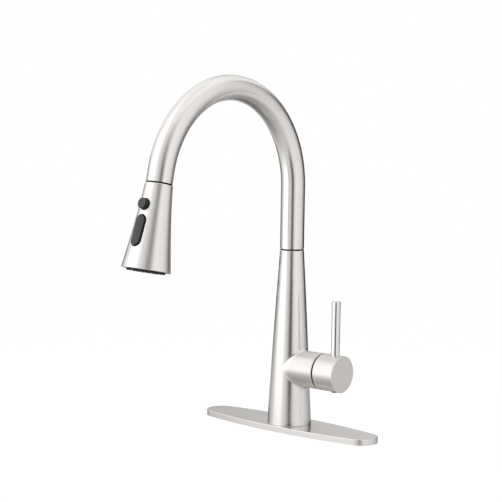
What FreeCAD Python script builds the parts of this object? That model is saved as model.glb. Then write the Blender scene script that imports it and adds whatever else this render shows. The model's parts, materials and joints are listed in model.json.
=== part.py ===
"""Pull-down kitchen faucet: deck plate, tapering body, gooseneck spout, spray head and side lever.

Millimetres. The origin is on the sink deck, at the middle of the deck plate, on the body's axis.
+Z is up, -Y is the front, where the spout reaches over the sink, and +X is the lever side.
"""

import FreeCAD
import Part
import math
import os
from FreeCAD import Placement, Rotation, Vector

# Directions
UP = Vector(0, 0, 1)
RIGHT = Vector(1, 0, 0)
BACK = Vector(0, 1, 0)

# Clearances
FIT = 0.05  # radial running clearance of a shaft in its bush, and of a piece pushed into its seat
GAP = 0.3  # between curved faces of pieces that move past each other

# Deck plate and its gasket
PLATE_LENGTH = 246.4
PLATE_WIDTH = 58.5
PLATE_END_RADIUS = 19.5
PLATE_HEIGHT = 6.8
PLATE_WALL = 1.4
PLATE_EDGE = 0.6
DECK_HOLE_RADIUS = 17.3

# Body column
COLUMN_TOP = 210.8
COLUMN_BASE_RADIUS = 25.7
COLUMN_BULGE = 0.35
COLUMN_WALL = 3.0
COLUMN_EDGE = 0.5
BASE_BORE_RADIUS = 19.6
SEAL_RADIUS = 22.4
SEAL_WIDTH = 2.0
SEAL_HEIGHT = 1.0

# Fixing under the deck
DECK_THICKNESS = 20.0
SHANK_RADIUS = 16.5
SHANK_BORE = 14.9
SHANK_LENGTH = 48.0
SHANK_FLANGE_BOTTOM = 8.5
WASHER_RADIUS = 28.0
RUBBER_WASHER_HEIGHT = 3.5
METAL_WASHER_HEIGHT = 1.8
NUT_RADIUS = 25.5
NUT_HEIGHT = 12.0
NUT_GAP = 3.6
JACK_RADIUS = 2.5
JACK_CIRCLE = 20.6

# Water ways
MANIFOLD_BOTTOM = 18.0
MANIFOLD_TOP = 46.0
PORT_RADIUS = 4.5
PORT_DEPTH = 12.0
CHANNEL_RADIUS = 2.4
CHANNEL_X = 3.2
INLET_Y = 9.0
OUTLET_X = 9.8
NIPPLE_BOTTOM = -80.0
NIPPLE_PLUG_RADIUS = 5.4
NIPPLE_PLUG_LENGTH = 18.0
RING_SECTION = 0.85

# Spout
TUBE_RADIUS = 14.0
TUBE_WALL = 1.5
SEAM_GAP = 1.7
ARCH_START = 284.9
ARCH_RADIUS = 111.35
ARCH_SWEEP = 168.1
SPOUT_LEAD = 12.4
SWIVEL_BORE = 12.2
SWIVEL_BORE_BOTTOM = 166.0
SPIGOT_RADIUS = 10.9
SPIGOT_BORE = 8.5
SPIGOT_BOTTOM = 169.0
SPIGOT_TOP = 240.0
BUSH_HEIGHT = 13.5
CLIP_HEIGHT = 1.2
CLIP_GROOVE = 1.0
FRICTION_SECTION = 1.25

# Pull-down hose
HOSE_RADIUS = 6.0
HOSE_BORE = 4.0
HOSE_SHIFT = 8.5
HOSE_BEND = 65.0
HOSE_SHIFT_TOP = 152.0
HOSE_BOTTOM = -68.0
COUPLING_RADIUS = 8.0
COUPLING_LENGTH = 22.0
COUPLING_PLAY = 0.2

# Spray head, measured down its own axis from the spout's end
HEAD_LENGTH = 92.0
HEAD_STEP = 0.7
HEAD_MOUTH_RADIUS = 26.1
HEAD_FLARE = 1.3
HEAD_WALL = 2.0
COLLAR_FLANGE = 1.3
COLLAR_DEPTH = 12.0
DOCK_MOUTH = 10.5
DOCK_TAPER = 0.15
NECK_DEPTH = 13.0
WAIST_RADIUS = 9.0
WAIST_BACK = 1.5
CHAMBER_DEPTH = 10.5
FACE_DEPTH = 6.0
NOZZLE_STAND = 2.0
NOZZLE_RADIUS = 1.25
NOZZLE_RINGS = ((19.6, 24), (16.4, 20), (13.3, 16))
AERATOR_RADIUS = 10.2
HEAD_CORNER = 0.7
NECK_BORE = 9.95
NECK_OPENING = 10.6
WATER_WAY = 4.4
VALVE_LENGTH = 6.5
FERRULE_BITE = 3.5
FERRULE_TOP = -15.0
FERRULE_RADIUS = 7.1
FITTING_TOP = -8.0
WASHER_THICKNESS = 1.5
FACE_RADIUS = 23.2
FACE_SETBACK = 0.2
PAD_THICKNESS = 1.6
JET_RADIUS = 0.45

# Pause button and mode rocker, on the head's front
BUTTON_AT = 25.0
BUTTON_RADIUS = 5.7
BUTTON_STAND = 4.6
ROCKER_AT = 52.8
ROCKER_HALF_LENGTH = 16.2
ROCKER_HALF_WIDTH = 5.6
ROCKER_STAND = 1.9
ROCKER_CROWN = 18.0
ROCKER_GAP = 0.65
ROCKER_PIVOT_DEPTH = 4.6
ROCKER_ARM = 6.0
ARM_RADIUS = 1.1
ROCKER_PIN_RADIUS = 1.0
SPOOL_RADIUS = 2.2
SPOOL_HALF_LENGTH = 8.0
BUTTON_STEM = 2.0
BUTTON_TIP = -11.5
BUTTON_FLOOR = -1.0
FLANGE_HEIGHT = 0.8
SPRING_RADIUS = 3.3
SPRING_WIRE = 0.35
SPRING_TURNS = 4
POCKET_TOP = -4.3
POCKET_FLOOR = -7.3
POCKET_WALL = 1.0
POCKET_STEP = 0.6
CHEEK_WIDTH = 1.8
BEZEL_WALL = 1.3
BEZEL_HALF_WIDTH = 9.5
BEZEL_START = 15.0
BEZEL_END = 72.0
RIM_WIDTH = 0.45
RIM_SINK = 0.25

# Boss, cartridge and handle, measured along +X at the boss's height
BOSS_HEIGHT = 73.4
BOSS_RADIUS = 21.1
BOSS_END = 46.9
BOSS_EDGE = 0.6
BOSS_BLEND = 3.0
BOSS_WALL = 3.1
CUP_BACK = -2.0
SEAT_X = 8.0
CARTRIDGE_PLAY = 0.5
CARTRIDGE_TOP = 40.0
HOUSING_WALL = 1.9
CARRIER_STEP = 2.4
NECK_END = 43.6
INLET_RISE = 5.8
OUTLET_DROP = 8.2
DISC_HEIGHT = 3.0
DISC_REST_DROP = 2.5
FIXED_DISC_INSET = 0.5
MOVING_DISC_INSET = 4.8
GUIDE_INSET = 1.3
MIX_POCKET_WALL = 4.9
MIX_POCKET_DEPTH = 1.4
STEM_PIN_RADIUS = 1.5
STEM_PIN_INSET = 0.9
STEM_REACH = 13.4
STEM_BALL = 2.1
STEM_NECK = 4.2
STEM_SQUARE = 8.0
STEM_SQUARE_START = 25.0
STEM_END = 72.0
CAP_START = 48.9
CAP_END = 76.6
CAP_EDGE = 0.45
PIVOT_SETBACK = 13.0
BONNET_GAP = 1.1
BONNET_WALL = 2.0
BONNET_MOUTH = 35.0
LEVER_X = 65.75
LEVER_TOP = 156.4
LEVER_RADIUS = 5.0
LEVER_THREAD = 3.0
LEVER_SINK = 1.2
LEVER_BITE = 9.0
LEVER_TIP_EDGE = 0.8
SCREW_RADIUS = 2.5
PLUG_DEPTH = 3.5
PLUG_RADIUS = 3.4
PLUG_STAND = 0.9

# Worked out from the sizes above
COLUMN_TOP_RADIUS = TUBE_RADIUS
TUBE_BORE = TUBE_RADIUS - TUBE_WALL
TUBE_START = COLUMN_TOP + SEAM_GAP
HEAD_TILT = 180.0 - ARCH_SWEEP
HEAD_TOP = COLLAR_FLANGE + GAP
HEAD_TOP_RADIUS = TUBE_RADIUS + HEAD_STEP
FACE_TOP = HEAD_LENGTH - FACE_DEPTH
CHAMBER_TOP = FACE_TOP - CHAMBER_DEPTH
BOSS_BORE = BOSS_RADIUS - BOSS_WALL
CARTRIDGE_RADIUS = BOSS_BORE - CARTRIDGE_PLAY
CARRIER_RADIUS = CARTRIDGE_RADIUS - HOUSING_WALL - GAP
CARRIER_NECK = CARRIER_RADIUS - CARRIER_STEP
FIXED_DISC_RADIUS = CARRIER_RADIUS - FIXED_DISC_INSET
MOVING_DISC_RADIUS = CARRIER_RADIUS - MOVING_DISC_INSET
GUIDE_HALF_WIDTH = MOVING_DISC_RADIUS - GUIDE_INSET
STEM_PIN_REACH = CARRIER_NECK - STEM_PIN_INSET
PIVOT_X = CAP_START - PIVOT_SETBACK
BOSS_CENTRE = Vector(0, 0, BOSS_HEIGHT)
PIVOT = Vector(PIVOT_X, 0, BOSS_HEIGHT)
WASHER_TOP = -DECK_THICKNESS
NUT_TOP = WASHER_TOP - RUBBER_WASHER_HEIGHT - METAL_WASHER_HEIGHT - NUT_GAP
SPOOL_DEPTH = ROCKER_PIVOT_DEPTH + ROCKER_ARM
BASE_END = SEAT_X + 3.5
FIXED_END = BASE_END + DISC_HEIGHT
MOVING_END = FIXED_END + DISC_HEIGHT
SLIDER_END = MOVING_END + 8.0
CARRIER_START = SLIDER_END + 0.8
CAP_RIM = BOSS_RADIUS - CAP_EDGE
CAP_HOLLOW = math.hypot(CAP_RIM, PIVOT_SETBACK)
BONNET_SPHERE = CAP_HOLLOW - BONNET_GAP
CAP_TOP = BOSS_HEIGHT + BOSS_RADIUS
CAP_BOTTOM = BOSS_HEIGHT - BOSS_RADIUS


# ---------------------------------------------------------------- drawing helpers


def spun(profile, origin, along, across):
    """Solid of revolution about the line from origin along a direction.

    Each step of the profile is (distance along, radius). A pair of such points is an arc's middle
    and end, and a list of them is a smooth curve through them.
    """

    def at(point):
        return origin + along * point[0] + across * point[1]

    edges = []
    here = profile[0]
    for step in profile[1:] + profile[:1]:
        if isinstance(step, list):
            curve = Part.BSplineCurve()
            curve.interpolate([at(point) for point in [here] + step])
            edges.append(curve.toShape())
            here = step[-1]
        elif isinstance(step[0], tuple):
            edges.append(Part.Arc(at(here), at(step[0]), at(step[1])).toShape())
            here = step[1]
        elif step != here:
            edges.append(Part.LineSegment(at(here), at(step)).toShape())
            here = step
    return Part.Face(Part.Wire(edges)).revolve(origin, along, 360)


def upright(profile):
    """Spun about the body's axis, from (height, radius) steps."""
    return spun(profile, Vector(), UP, BACK)


def sideways(profile):
    """Spun about the boss's axis, from (distance along +X, radius) steps."""
    return spun(profile, BOSS_CENTRE, RIGHT, BACK)


def headwise(profile):
    """Spun about the head's axis in the head's own frame, from (depth below its top, radius) steps."""
    return spun(profile, Vector(), UP * -1, BACK)


def rod(radius, start, end):
    return Part.makeCylinder(radius, start.distanceToPoint(end), start, end - start)


def pipe(outer, inner, start, end):
    return rod(outer, start, end).cut(rod(inner, start, end))


def post(radius, x, y, low, high):
    return rod(radius, Vector(x, y, low), Vector(x, y, high))


def crossbar(radius, y, z, start, end):
    """Round bar along X at height z above the boss's axis."""
    return rod(radius, Vector(start, y, BOSS_HEIGHT + z), Vector(end, y, BOSS_HEIGHT + z))


def block(low, high):
    size = [high[i] - low[i] for i in range(3)]
    return Part.makeBox(*size, Vector(*low))


def ring(mean, section, centre, axis):
    """O-ring."""
    return Part.makeTorus(mean, section, centre, axis)


def joined(shapes):
    whole = shapes[0]
    if len(shapes) > 1:
        whole = whole.multiFuse(shapes[1:])
    return whole.removeSplitter()


def on_circle(radius, count, start=0.0):
    turns = [math.radians(start + 360.0 * i / count) for i in range(count)]
    return [(radius * math.cos(t), radius * math.sin(t)) for t in turns]


# ---------------------------------------------------------------- deck plate and fixing


def plate_outline(inset, height):
    """Two bowed sides running smoothly into two round ends, drawn inside the plate's edge."""
    half_length = PLATE_LENGTH / 2
    half_width = PLATE_WIDTH / 2
    end_x = half_length - PLATE_END_RADIUS
    spare = half_length**2 - 2 * half_length * PLATE_END_RADIUS + half_width**2
    bow_y = spare / (2 * (half_width - PLATE_END_RADIUS)) - half_width
    reach = math.hypot(end_x, bow_y)
    end_radius = PLATE_END_RADIUS - inset
    join_x = end_x + end_radius * end_x / reach
    join_y = end_radius * bow_y / reach
    tip_x = half_length - inset
    side_y = half_width - inset

    def arc(start, middle, end):
        points = [Vector(x, y, height) for x, y in (start, middle, end)]
        return Part.Arc(*points).toShape()

    return Part.Wire(
        [
            arc((-join_x, -join_y), (0, -side_y), (join_x, -join_y)),
            arc((join_x, -join_y), (tip_x, 0), (join_x, join_y)),
            arc((join_x, join_y), (0, side_y), (-join_x, join_y)),
            arc((-join_x, join_y), (-tip_x, 0), (-join_x, -join_y)),
        ]
    )


def plate_slab(inset, low, high):
    return Part.Face(plate_outline(inset, low)).extrude(UP * (high - low))


def deck_plate():
    slab = plate_slab(0, 0, PLATE_HEIGHT)
    top_edges = [e for e in slab.Edges if min(v.Z for v in e.Vertexes) > PLATE_HEIGHT - 0.01]
    slab = slab.makeFillet(PLATE_EDGE, top_edges)
    hollow = plate_slab(PLATE_WALL, 0, PLATE_HEIGHT - PLATE_WALL)
    hole = post(DECK_HOLE_RADIUS, 0, 0, -1, PLATE_HEIGHT + 1)
    return slab.cut(hollow).cut(hole)


def plate_gasket():
    pad = plate_slab(PLATE_WALL + FIT, 0, PLATE_HEIGHT - PLATE_WALL)
    return pad.cut(post(DECK_HOLE_RADIUS, 0, 0, -1, PLATE_HEIGHT))


def base_seal():
    low, high = PLATE_HEIGHT, PLATE_HEIGHT + SEAL_HEIGHT
    return post(SEAL_RADIUS + SEAL_WIDTH / 2, 0, 0, low, high).cut(
        post(SEAL_RADIUS - SEAL_WIDTH / 2, 0, 0, low, high)
    )


def threaded_shank():
    """Tube through the deck, screwed into the column's base by its flange."""
    flange_radius = BASE_BORE_RADIUS - FIT
    return upright(
        [
            (-SHANK_LENGTH, SHANK_BORE),
            (-SHANK_LENGTH, SHANK_RADIUS - 1),
            (1 - SHANK_LENGTH, SHANK_RADIUS),
            (SHANK_FLANGE_BOTTOM, SHANK_RADIUS),
            (SHANK_FLANGE_BOTTOM, flange_radius),
            (MANIFOLD_BOTTOM, flange_radius),
            (MANIFOLD_BOTTOM, SHANK_BORE),
        ]
    )


def rubber_washer():
    bottom = WASHER_TOP - RUBBER_WASHER_HEIGHT
    bore = post(SHANK_RADIUS + FIT, 0, 0, bottom, WASHER_TOP)
    return post(WASHER_RADIUS, 0, 0, bottom, WASHER_TOP).cut(bore)


def metal_washer():
    top = WASHER_TOP - RUBBER_WASHER_HEIGHT
    bottom = top - METAL_WASHER_HEIGHT
    plate = post(WASHER_RADIUS - 1, 0, 0, bottom, top)
    return plate.cut(post(SHANK_RADIUS + FIT, 0, 0, bottom, top))


def mounting_nut():
    """Hexagon nut on the shank, with two tapped holes for the jack screws."""
    corners = [Vector(x, y, NUT_TOP) for x, y in on_circle(NUT_RADIUS / math.cos(math.pi / 6), 6)]
    hexagon = Part.Face(Part.makePolygon(corners + corners[:1]))
    nut = hexagon.extrude(UP * -NUT_HEIGHT)
    nut = nut.common(post(NUT_RADIUS + 1.6, 0, 0, NUT_TOP - NUT_HEIGHT, NUT_TOP))
    nut = nut.cut(post(SHANK_RADIUS + FIT, 0, 0, NUT_TOP - NUT_HEIGHT, NUT_TOP))
    for x, y in on_circle(JACK_CIRCLE, 2, 90):
        nut = nut.cut(post(JACK_RADIUS + FIT, x, y, NUT_TOP - NUT_HEIGHT, NUT_TOP))
    return nut


def jack_screws():
    """Two screws that press the washers up against the deck from the nut."""
    tip = NUT_TOP + NUT_GAP
    head_top = NUT_TOP - NUT_HEIGHT - 3
    screws = []
    for x, y in on_circle(JACK_CIRCLE, 2, 90):
        screw = post(JACK_RADIUS, x, y, head_top, tip)
        head = post(JACK_RADIUS * 1.5, x, y, head_top - 3.5, head_top)
        slot = block((x - 5, y - 0.6, head_top - 3.5), (x + 5, y + 0.6, head_top - 2.3))
        screws.append(screw.fuse(head).cut(slot).removeSplitter())
    return Part.makeCompound(screws)


# ---------------------------------------------------------------- water ways in the base


def inlet_places():
    return [(CHANNEL_X, -INLET_Y), (CHANNEL_X, INLET_Y)]


def channel_places():
    return inlet_places() + [(CHANNEL_X, 0)]


def inlet_manifold():
    """Brass plug in the column's base: two inlets and the outlet below, three channels above."""
    plug = post(BASE_BORE_RADIUS - FIT, 0, 0, MANIFOLD_BOTTOM, MANIFOLD_TOP)
    port_top = MANIFOLD_BOTTOM + PORT_DEPTH
    cuts = [post(HOSE_RADIUS + 0.9, -HOSE_SHIFT, 0, MANIFOLD_BOTTOM, MANIFOLD_TOP)]
    for x, y in inlet_places():
        cuts.append(post(PORT_RADIUS, x, y, MANIFOLD_BOTTOM, port_top))
        cuts.append(post(CHANNEL_RADIUS, x, y, port_top, MANIFOLD_TOP))
    cuts.append(post(PORT_RADIUS, OUTLET_X, 0, MANIFOLD_BOTTOM, port_top))
    cross = port_top + CHANNEL_RADIUS
    cuts.append(post(CHANNEL_RADIUS, OUTLET_X, 0, port_top, cross))
    cuts.append(rod(CHANNEL_RADIUS, Vector(CHANNEL_X, 0, cross), Vector(OUTLET_X, 0, cross)))
    cuts.append(post(CHANNEL_RADIUS, CHANNEL_X, 0, cross, MANIFOLD_TOP))
    groove_bottom = MANIFOLD_TOP - 2 * RING_SECTION
    for x, y in channel_places():
        cuts.append(post(CHANNEL_RADIUS + 2.1 * RING_SECTION, x, y, groove_bottom, MANIFOLD_TOP))
    return plug.cut(cuts)


def manifold_o_rings():
    height = MANIFOLD_TOP - RING_SECTION
    mean = CHANNEL_RADIUS + 1.05 * RING_SECTION
    rings = [ring(mean, RING_SECTION, Vector(x, y, height), UP) for x, y in channel_places()]
    return Part.makeCompound(rings)


def nipple_ring_heights():
    return [NIPPLE_BOTTOM + 5, NIPPLE_BOTTOM + 10]


def outlet_nipple():
    """Outlet pipe down through the shank, ending in the plug of the hose's quick coupling."""
    plug_top = NIPPLE_BOTTOM + NIPPLE_PLUG_LENGTH
    stalk = PORT_RADIUS - FIT
    axis = Vector(OUTLET_X, 0, 0)
    nipple = spun(
        [
            (NIPPLE_BOTTOM, CHANNEL_RADIUS),
            (NIPPLE_BOTTOM, NIPPLE_PLUG_RADIUS - 1),
            (NIPPLE_BOTTOM + 1, NIPPLE_PLUG_RADIUS),
            (plug_top, NIPPLE_PLUG_RADIUS),
            (plug_top + 1, stalk),
            (MANIFOLD_BOTTOM + PORT_DEPTH - 2, stalk),
            (MANIFOLD_BOTTOM + PORT_DEPTH - 2, CHANNEL_RADIUS),
        ],
        axis,
        UP,
        BACK,
    )
    for height in nipple_ring_heights():
        groove = pipe(
            NIPPLE_PLUG_RADIUS + 1,
            NIPPLE_PLUG_RADIUS - 1.6 * RING_SECTION,
            axis + UP * (height - RING_SECTION),
            axis + UP * (height + RING_SECTION),
        )
        nipple = nipple.cut(groove)
    return nipple


def nipple_o_rings():
    mean = NIPPLE_PLUG_RADIUS - 0.6 * RING_SECTION
    centres = [Vector(OUTLET_X, 0, height) for height in nipple_ring_heights()]
    return Part.makeCompound([ring(mean, RING_SECTION, centre, UP) for centre in centres])


# ---------------------------------------------------------------- body column


def column_radius(height):
    """Outer radius: a straight taper with a slight bulge."""
    share = (height - PLATE_HEIGHT) / (COLUMN_TOP - PLATE_HEIGHT)
    taper = COLUMN_BASE_RADIUS + (COLUMN_TOP_RADIUS - COLUMN_BASE_RADIUS) * share
    return taper + COLUMN_BULGE * 4 * share * (1 - share)


def column_skin():
    low, high = PLATE_HEIGHT, COLUMN_TOP
    start, end = low + COLUMN_EDGE, high - COLUMN_EDGE
    middle = (start + end) / 2
    return upright(
        [
            (low, 0),
            (low, column_radius(low) - COLUMN_EDGE),
            (start, column_radius(start)),
            ((middle, column_radius(middle)), (end, column_radius(end))),
            (high, column_radius(high) - COLUMN_EDGE),
            (high, 0),
        ]
    )


def column_cavity():
    """Room inside the column for the hose, round the cartridge cup and the channel block."""
    low, high = MANIFOLD_TOP, SWIVEL_BORE_BOTTOM
    middle = (low + high) / 2

    def inner(height):
        return column_radius(height) - COLUMN_WALL

    room = upright(
        [
            (low, 0),
            (low, inner(low)),
            ((middle, inner(middle)), (high, inner(high))),
            (high, 0),
        ]
    )
    cup = crossbar(BOSS_RADIUS, 0, 0, CUP_BACK, BOSS_END)
    reach = INLET_Y + CHANNEL_RADIUS + 1.6
    channels = block((CUP_BACK, -reach, MANIFOLD_TOP - 1), (SEAT_X, reach, BOSS_HEIGHT))
    return room.cut([cup, channels])


def seat_ports():
    """(y, height above the boss's axis) of the two inlets and the outlet at the cartridge's base."""
    return [(-INLET_Y, INLET_RISE), (INLET_Y, INLET_RISE), (0, -OUTLET_DROP)]


def body_column():
    boss = sideways(
        [
            (0, 0),
            (0, BOSS_RADIUS),
            (BOSS_END - BOSS_EDGE, BOSS_RADIUS),
            (BOSS_END, BOSS_RADIUS - BOSS_EDGE),
            (BOSS_END, 0),
        ]
    )
    column = column_skin().fuse(boss)
    blend = [e for e in column.Edges if "BSpline" in str(type(e.Curve))]
    column = column.makeFillet(BOSS_BLEND, blend)
    cuts = [
        column_cavity(),
        post(SWIVEL_BORE, 0, 0, SWIVEL_BORE_BOTTOM - 1, COLUMN_TOP + 1),
        post(BASE_BORE_RADIUS, 0, 0, 0, MANIFOLD_TOP),
        crossbar(BOSS_BORE, 0, 0, SEAT_X, BOSS_END + 1),
        pipe(
            SEAL_RADIUS + SEAL_WIDTH / 2 + FIT,
            SEAL_RADIUS - SEAL_WIDTH / 2 - FIT,
            Vector(0, 0, PLATE_HEIGHT),
            Vector(0, 0, PLATE_HEIGHT + SEAL_HEIGHT),
        ),
    ]
    for y, height in seat_ports():
        channel_top = BOSS_HEIGHT + height
        cuts.append(post(CHANNEL_RADIUS, CHANNEL_X, y, MANIFOLD_TOP - 1, channel_top))
        cuts.append(crossbar(CHANNEL_RADIUS, y, height, CHANNEL_X, SEAT_X + 1))
    return column.cut(cuts)


# ---------------------------------------------------------------- spout and its swivel


def spout_line():
    """Height and tilt of the spout's end: (end point, direction in which it points)."""
    sweep = math.radians(ARCH_SWEEP)
    bend_end = Vector(
        0,
        -ARCH_RADIUS * (1 - math.cos(sweep)),
        ARCH_START + ARCH_RADIUS * math.sin(sweep),
    )
    direction = Vector(0, -math.sin(sweep), math.cos(sweep))
    return bend_end, direction


def gooseneck(radius, bottom, lead):
    """Round bar along the spout's centre line, from a height up, round and lead past the arch."""
    bend_end, direction = spout_line()
    circle = Part.Circle(Vector(0, 0, ARCH_START), UP, radius)
    disc = Part.Face(Part.Wire(circle.toShape()))
    arch = disc.revolve(Vector(0, -ARCH_RADIUS, ARCH_START), RIGHT, ARCH_SWEEP)
    straight = post(radius, 0, 0, bottom, ARCH_START)
    outlet = rod(radius, bend_end, bend_end + direction * lead)
    return joined([straight, arch, outlet])


def spout_tube():
    outer = gooseneck(TUBE_RADIUS, TUBE_START, SPOUT_LEAD)
    return outer.cut(gooseneck(TUBE_BORE, TUBE_START, SPOUT_LEAD))


def seam_ring():
    """Black bearing washer that shows as a dark line between body and spout."""
    ring_radius = TUBE_RADIUS - 0.5
    return pipe(
        ring_radius,
        SPIGOT_RADIUS + GAP,
        Vector(0, 0, COLUMN_TOP),
        Vector(0, 0, TUBE_START),
    )


def bush_heights():
    """Bottom of the lower and of the upper bush in the column's top."""
    return SPIGOT_BOTTOM + 3.5, COLUMN_TOP - BUSH_HEIGHT


def swivel_bush(bottom):
    top = bottom + BUSH_HEIGHT
    return pipe(SWIVEL_BORE, SPIGOT_RADIUS + FIT, Vector(0, 0, bottom), Vector(0, 0, top))


def friction_ring_height():
    lower, upper = bush_heights()
    return (lower + BUSH_HEIGHT + upper) / 2


def spout_spigot():
    """Brass stem brazed into the spout's foot, which turns in the two bushes."""
    clip_bottom = bush_heights()[0] - CLIP_HEIGHT
    groove = SPIGOT_RADIUS - CLIP_GROOVE
    friction = friction_ring_height()
    seat = FRICTION_SECTION
    return upright(
        [
            (SPIGOT_BOTTOM, SPIGOT_BORE),
            (SPIGOT_BOTTOM, SPIGOT_RADIUS),
            (clip_bottom, SPIGOT_RADIUS),
            (clip_bottom, groove),
            (clip_bottom + CLIP_HEIGHT - FIT, groove),
            (clip_bottom + CLIP_HEIGHT - FIT, SPIGOT_RADIUS),
            (friction - seat, SPIGOT_RADIUS),
            (friction - seat, SWIVEL_BORE - FIT - 2 * seat),
            (friction + seat, SWIVEL_BORE - FIT - 2 * seat),
            (friction + seat, SPIGOT_RADIUS),
            (TUBE_START, SPIGOT_RADIUS),
            (TUBE_START, TUBE_BORE - FIT),
            (SPIGOT_TOP, TUBE_BORE - FIT),
            (SPIGOT_TOP, SPIGOT_BORE),
        ]
    )


def spout_friction_ring():
    mean = SWIVEL_BORE - FIT - FRICTION_SECTION
    return ring(mean, FRICTION_SECTION, Vector(0, 0, friction_ring_height()), UP)


def spout_retaining_clip():
    """Open spring ring under the lower bush, which keeps the spout from lifting out."""
    bottom = bush_heights()[0] - CLIP_HEIGHT
    top = bottom + CLIP_HEIGHT - FIT
    inner = SPIGOT_RADIUS - CLIP_GROOVE + FIT
    clip = pipe(SWIVEL_BORE - GAP, inner, Vector(0, 0, bottom), Vector(0, 0, top))
    return clip.cut(block((-4, 5, bottom - 1), (4, 15, top + 1)))


def pull_down_hose():
    """Hose from the head's fitting round the gooseneck, past the cartridge cup and out of the shank."""

    def bar(radius):
        turn = math.acos(1 - HOSE_SHIFT / (2 * HOSE_BEND))
        rise = HOSE_BEND * math.sin(turn)
        upper = gooseneck(radius, HOSE_SHIFT_TOP, SPOUT_LEAD - FERRULE_BITE)
        start = Vector(0, 0, HOSE_SHIFT_TOP)
        end = start + Vector(-HOSE_SHIFT, 0, -2 * rise)
        bend = math.degrees(turn)

        def elbow(centre_x, at, sense):
            face = Part.Face(Part.Wire(Part.Circle(at, UP, radius).toShape()))
            return face.revolve(Vector(centre_x, 0, at.z), BACK, sense * bend)

        first = elbow(-HOSE_BEND, start, 1)
        second = elbow(-HOSE_SHIFT + HOSE_BEND, end, 1)
        lower = post(radius, -HOSE_SHIFT, 0, HOSE_BOTTOM, end.z)
        return joined([upper, first, second, lower])

    return bar(HOSE_RADIUS).cut(bar(HOSE_BORE))


def hose_coupling():
    """Socket of the quick coupling, crimped on the hose's lower end."""
    bottom = HOSE_BOTTOM - COUPLING_LENGTH
    return spun(
        [
            (bottom, NIPPLE_PLUG_RADIUS + COUPLING_PLAY),
            (bottom, COUPLING_RADIUS),
            (HOSE_BOTTOM - 4, COUPLING_RADIUS),
            (HOSE_BOTTOM - 3, HOSE_RADIUS + 1),
            (HOSE_BOTTOM + 8, HOSE_RADIUS + 1),
            (HOSE_BOTTOM + 8, HOSE_RADIUS + FIT),
            (HOSE_BOTTOM, HOSE_RADIUS + FIT),
            (HOSE_BOTTOM, HOSE_BORE),
            (HOSE_BOTTOM - 4, HOSE_BORE),
            (HOSE_BOTTOM - 4, NIPPLE_PLUG_RADIUS + COUPLING_PLAY),
        ],
        Vector(-HOSE_SHIFT, 0, 0),
        UP,
        BACK,
    )


# ---------------------------------------------------------------- spray head, in its own frame
# The head's frame has its origin at the middle of the spout's end. Depth runs down -Z.


def in_head(shape):
    """Move a piece from the head's own frame to its docked place."""
    bend_end, direction = spout_line()
    placed = shape.copy()
    tilt = Rotation(RIGHT, -HEAD_TILT)
    placed.Placement = Placement(bend_end + direction * SPOUT_LEAD, tilt).multiply(shape.Placement)
    return placed


def head_radius(depth):
    share = max(depth, 0) / HEAD_LENGTH
    return HEAD_TOP_RADIUS + (HEAD_MOUTH_RADIUS - HEAD_TOP_RADIUS) * share**HEAD_FLARE


def head_slope(depth):
    """Angle in degrees between the head's front line and its axis."""
    step = 0.5
    rise = head_radius(depth + step) - head_radius(depth - step)
    return math.degrees(math.atan(rise / (2 * step)))


def flare(sink, start, end):
    """Solid inside the head's outer surface sunk by an amount, between two depths."""
    stations = [start + (end - start) * i / 6 for i in range(1, 7)]
    curve = [(depth, head_radius(depth) - sink) for depth in stations]
    return headwise([(start, 0), (start, head_radius(start) - sink), curve, (end, 0)])


def on_front(shape, depth):
    """Place a shape drawn with +Z outward and +Y up on the head's front line at a depth."""
    placed = shape.copy()
    origin = Vector(0, -head_radius(depth), -depth)
    placed.Placement = Placement(origin, Rotation(RIGHT, 90 - head_slope(depth)))
    return placed


def stadium(half_width, half_length, low, high):
    """Oval prism along Z, long way along Y."""
    straight = half_length - half_width
    parts = [post(half_width, 0, y, low, high) for y in (-straight, straight)]
    parts.append(block((-half_width, -straight, low), (half_width, straight, high)))
    return joined(parts)


def button_bore():
    return BUTTON_RADIUS + GAP


def dock_radius(depth):
    """Radius of the collar's conical socket, widest at the spout's mouth."""
    return DOCK_MOUTH + DOCK_TAPER * (depth - COLLAR_FLANGE)


def dock_collar():
    """Black collar in the spout's end; its flange shows as the dark line above the head."""
    flange_radius = TUBE_RADIUS - 0.3
    return in_head(
        headwise(
            [
                (-COLLAR_DEPTH, dock_radius(-COLLAR_DEPTH)),
                (-COLLAR_DEPTH, TUBE_BORE - FIT),
                (0, TUBE_BORE - FIT),
                (0, flange_radius),
                (COLLAR_FLANGE, flange_radius),
                (COLLAR_FLANGE, dock_radius(COLLAR_FLANGE)),
            ]
        )
    )


def hose_ferrule():
    """Steel sleeve crimped on the hose's end, which turns in the fitting."""
    hose_end = -FERRULE_BITE
    return in_head(
        headwise(
            [
                (FERRULE_TOP, HOSE_RADIUS + FIT),
                (FERRULE_TOP, FERRULE_RADIUS),
                (hose_end + 1, FERRULE_RADIUS),
                (hose_end + 1, HOSE_BORE),
                (hose_end, HOSE_BORE),
                (hose_end, HOSE_RADIUS + FIT),
            ]
        )
    )


def hose_end_fitting():
    """Conical plug that docks in the collar and screws into the head's neck."""
    socket = FERRULE_RADIUS + FIT
    socket_floor = -FERRULE_BITE + 1.2
    shoulder = HEAD_TOP + HEAD_WALL
    return in_head(
        headwise(
            [
                (FITTING_TOP, socket),
                (FITTING_TOP, dock_radius(FITTING_TOP) - GAP),
                (COLLAR_FLANGE, dock_radius(COLLAR_FLANGE) - GAP),
                (shoulder, dock_radius(COLLAR_FLANGE) - GAP),
                (shoulder, NECK_BORE - FIT),
                (NECK_DEPTH - WASHER_THICKNESS, NECK_BORE - FIT),
                (NECK_DEPTH - WASHER_THICKNESS, HOSE_BORE),
                (socket_floor, HOSE_BORE),
                (socket_floor, socket),
            ]
        )
    )


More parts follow.
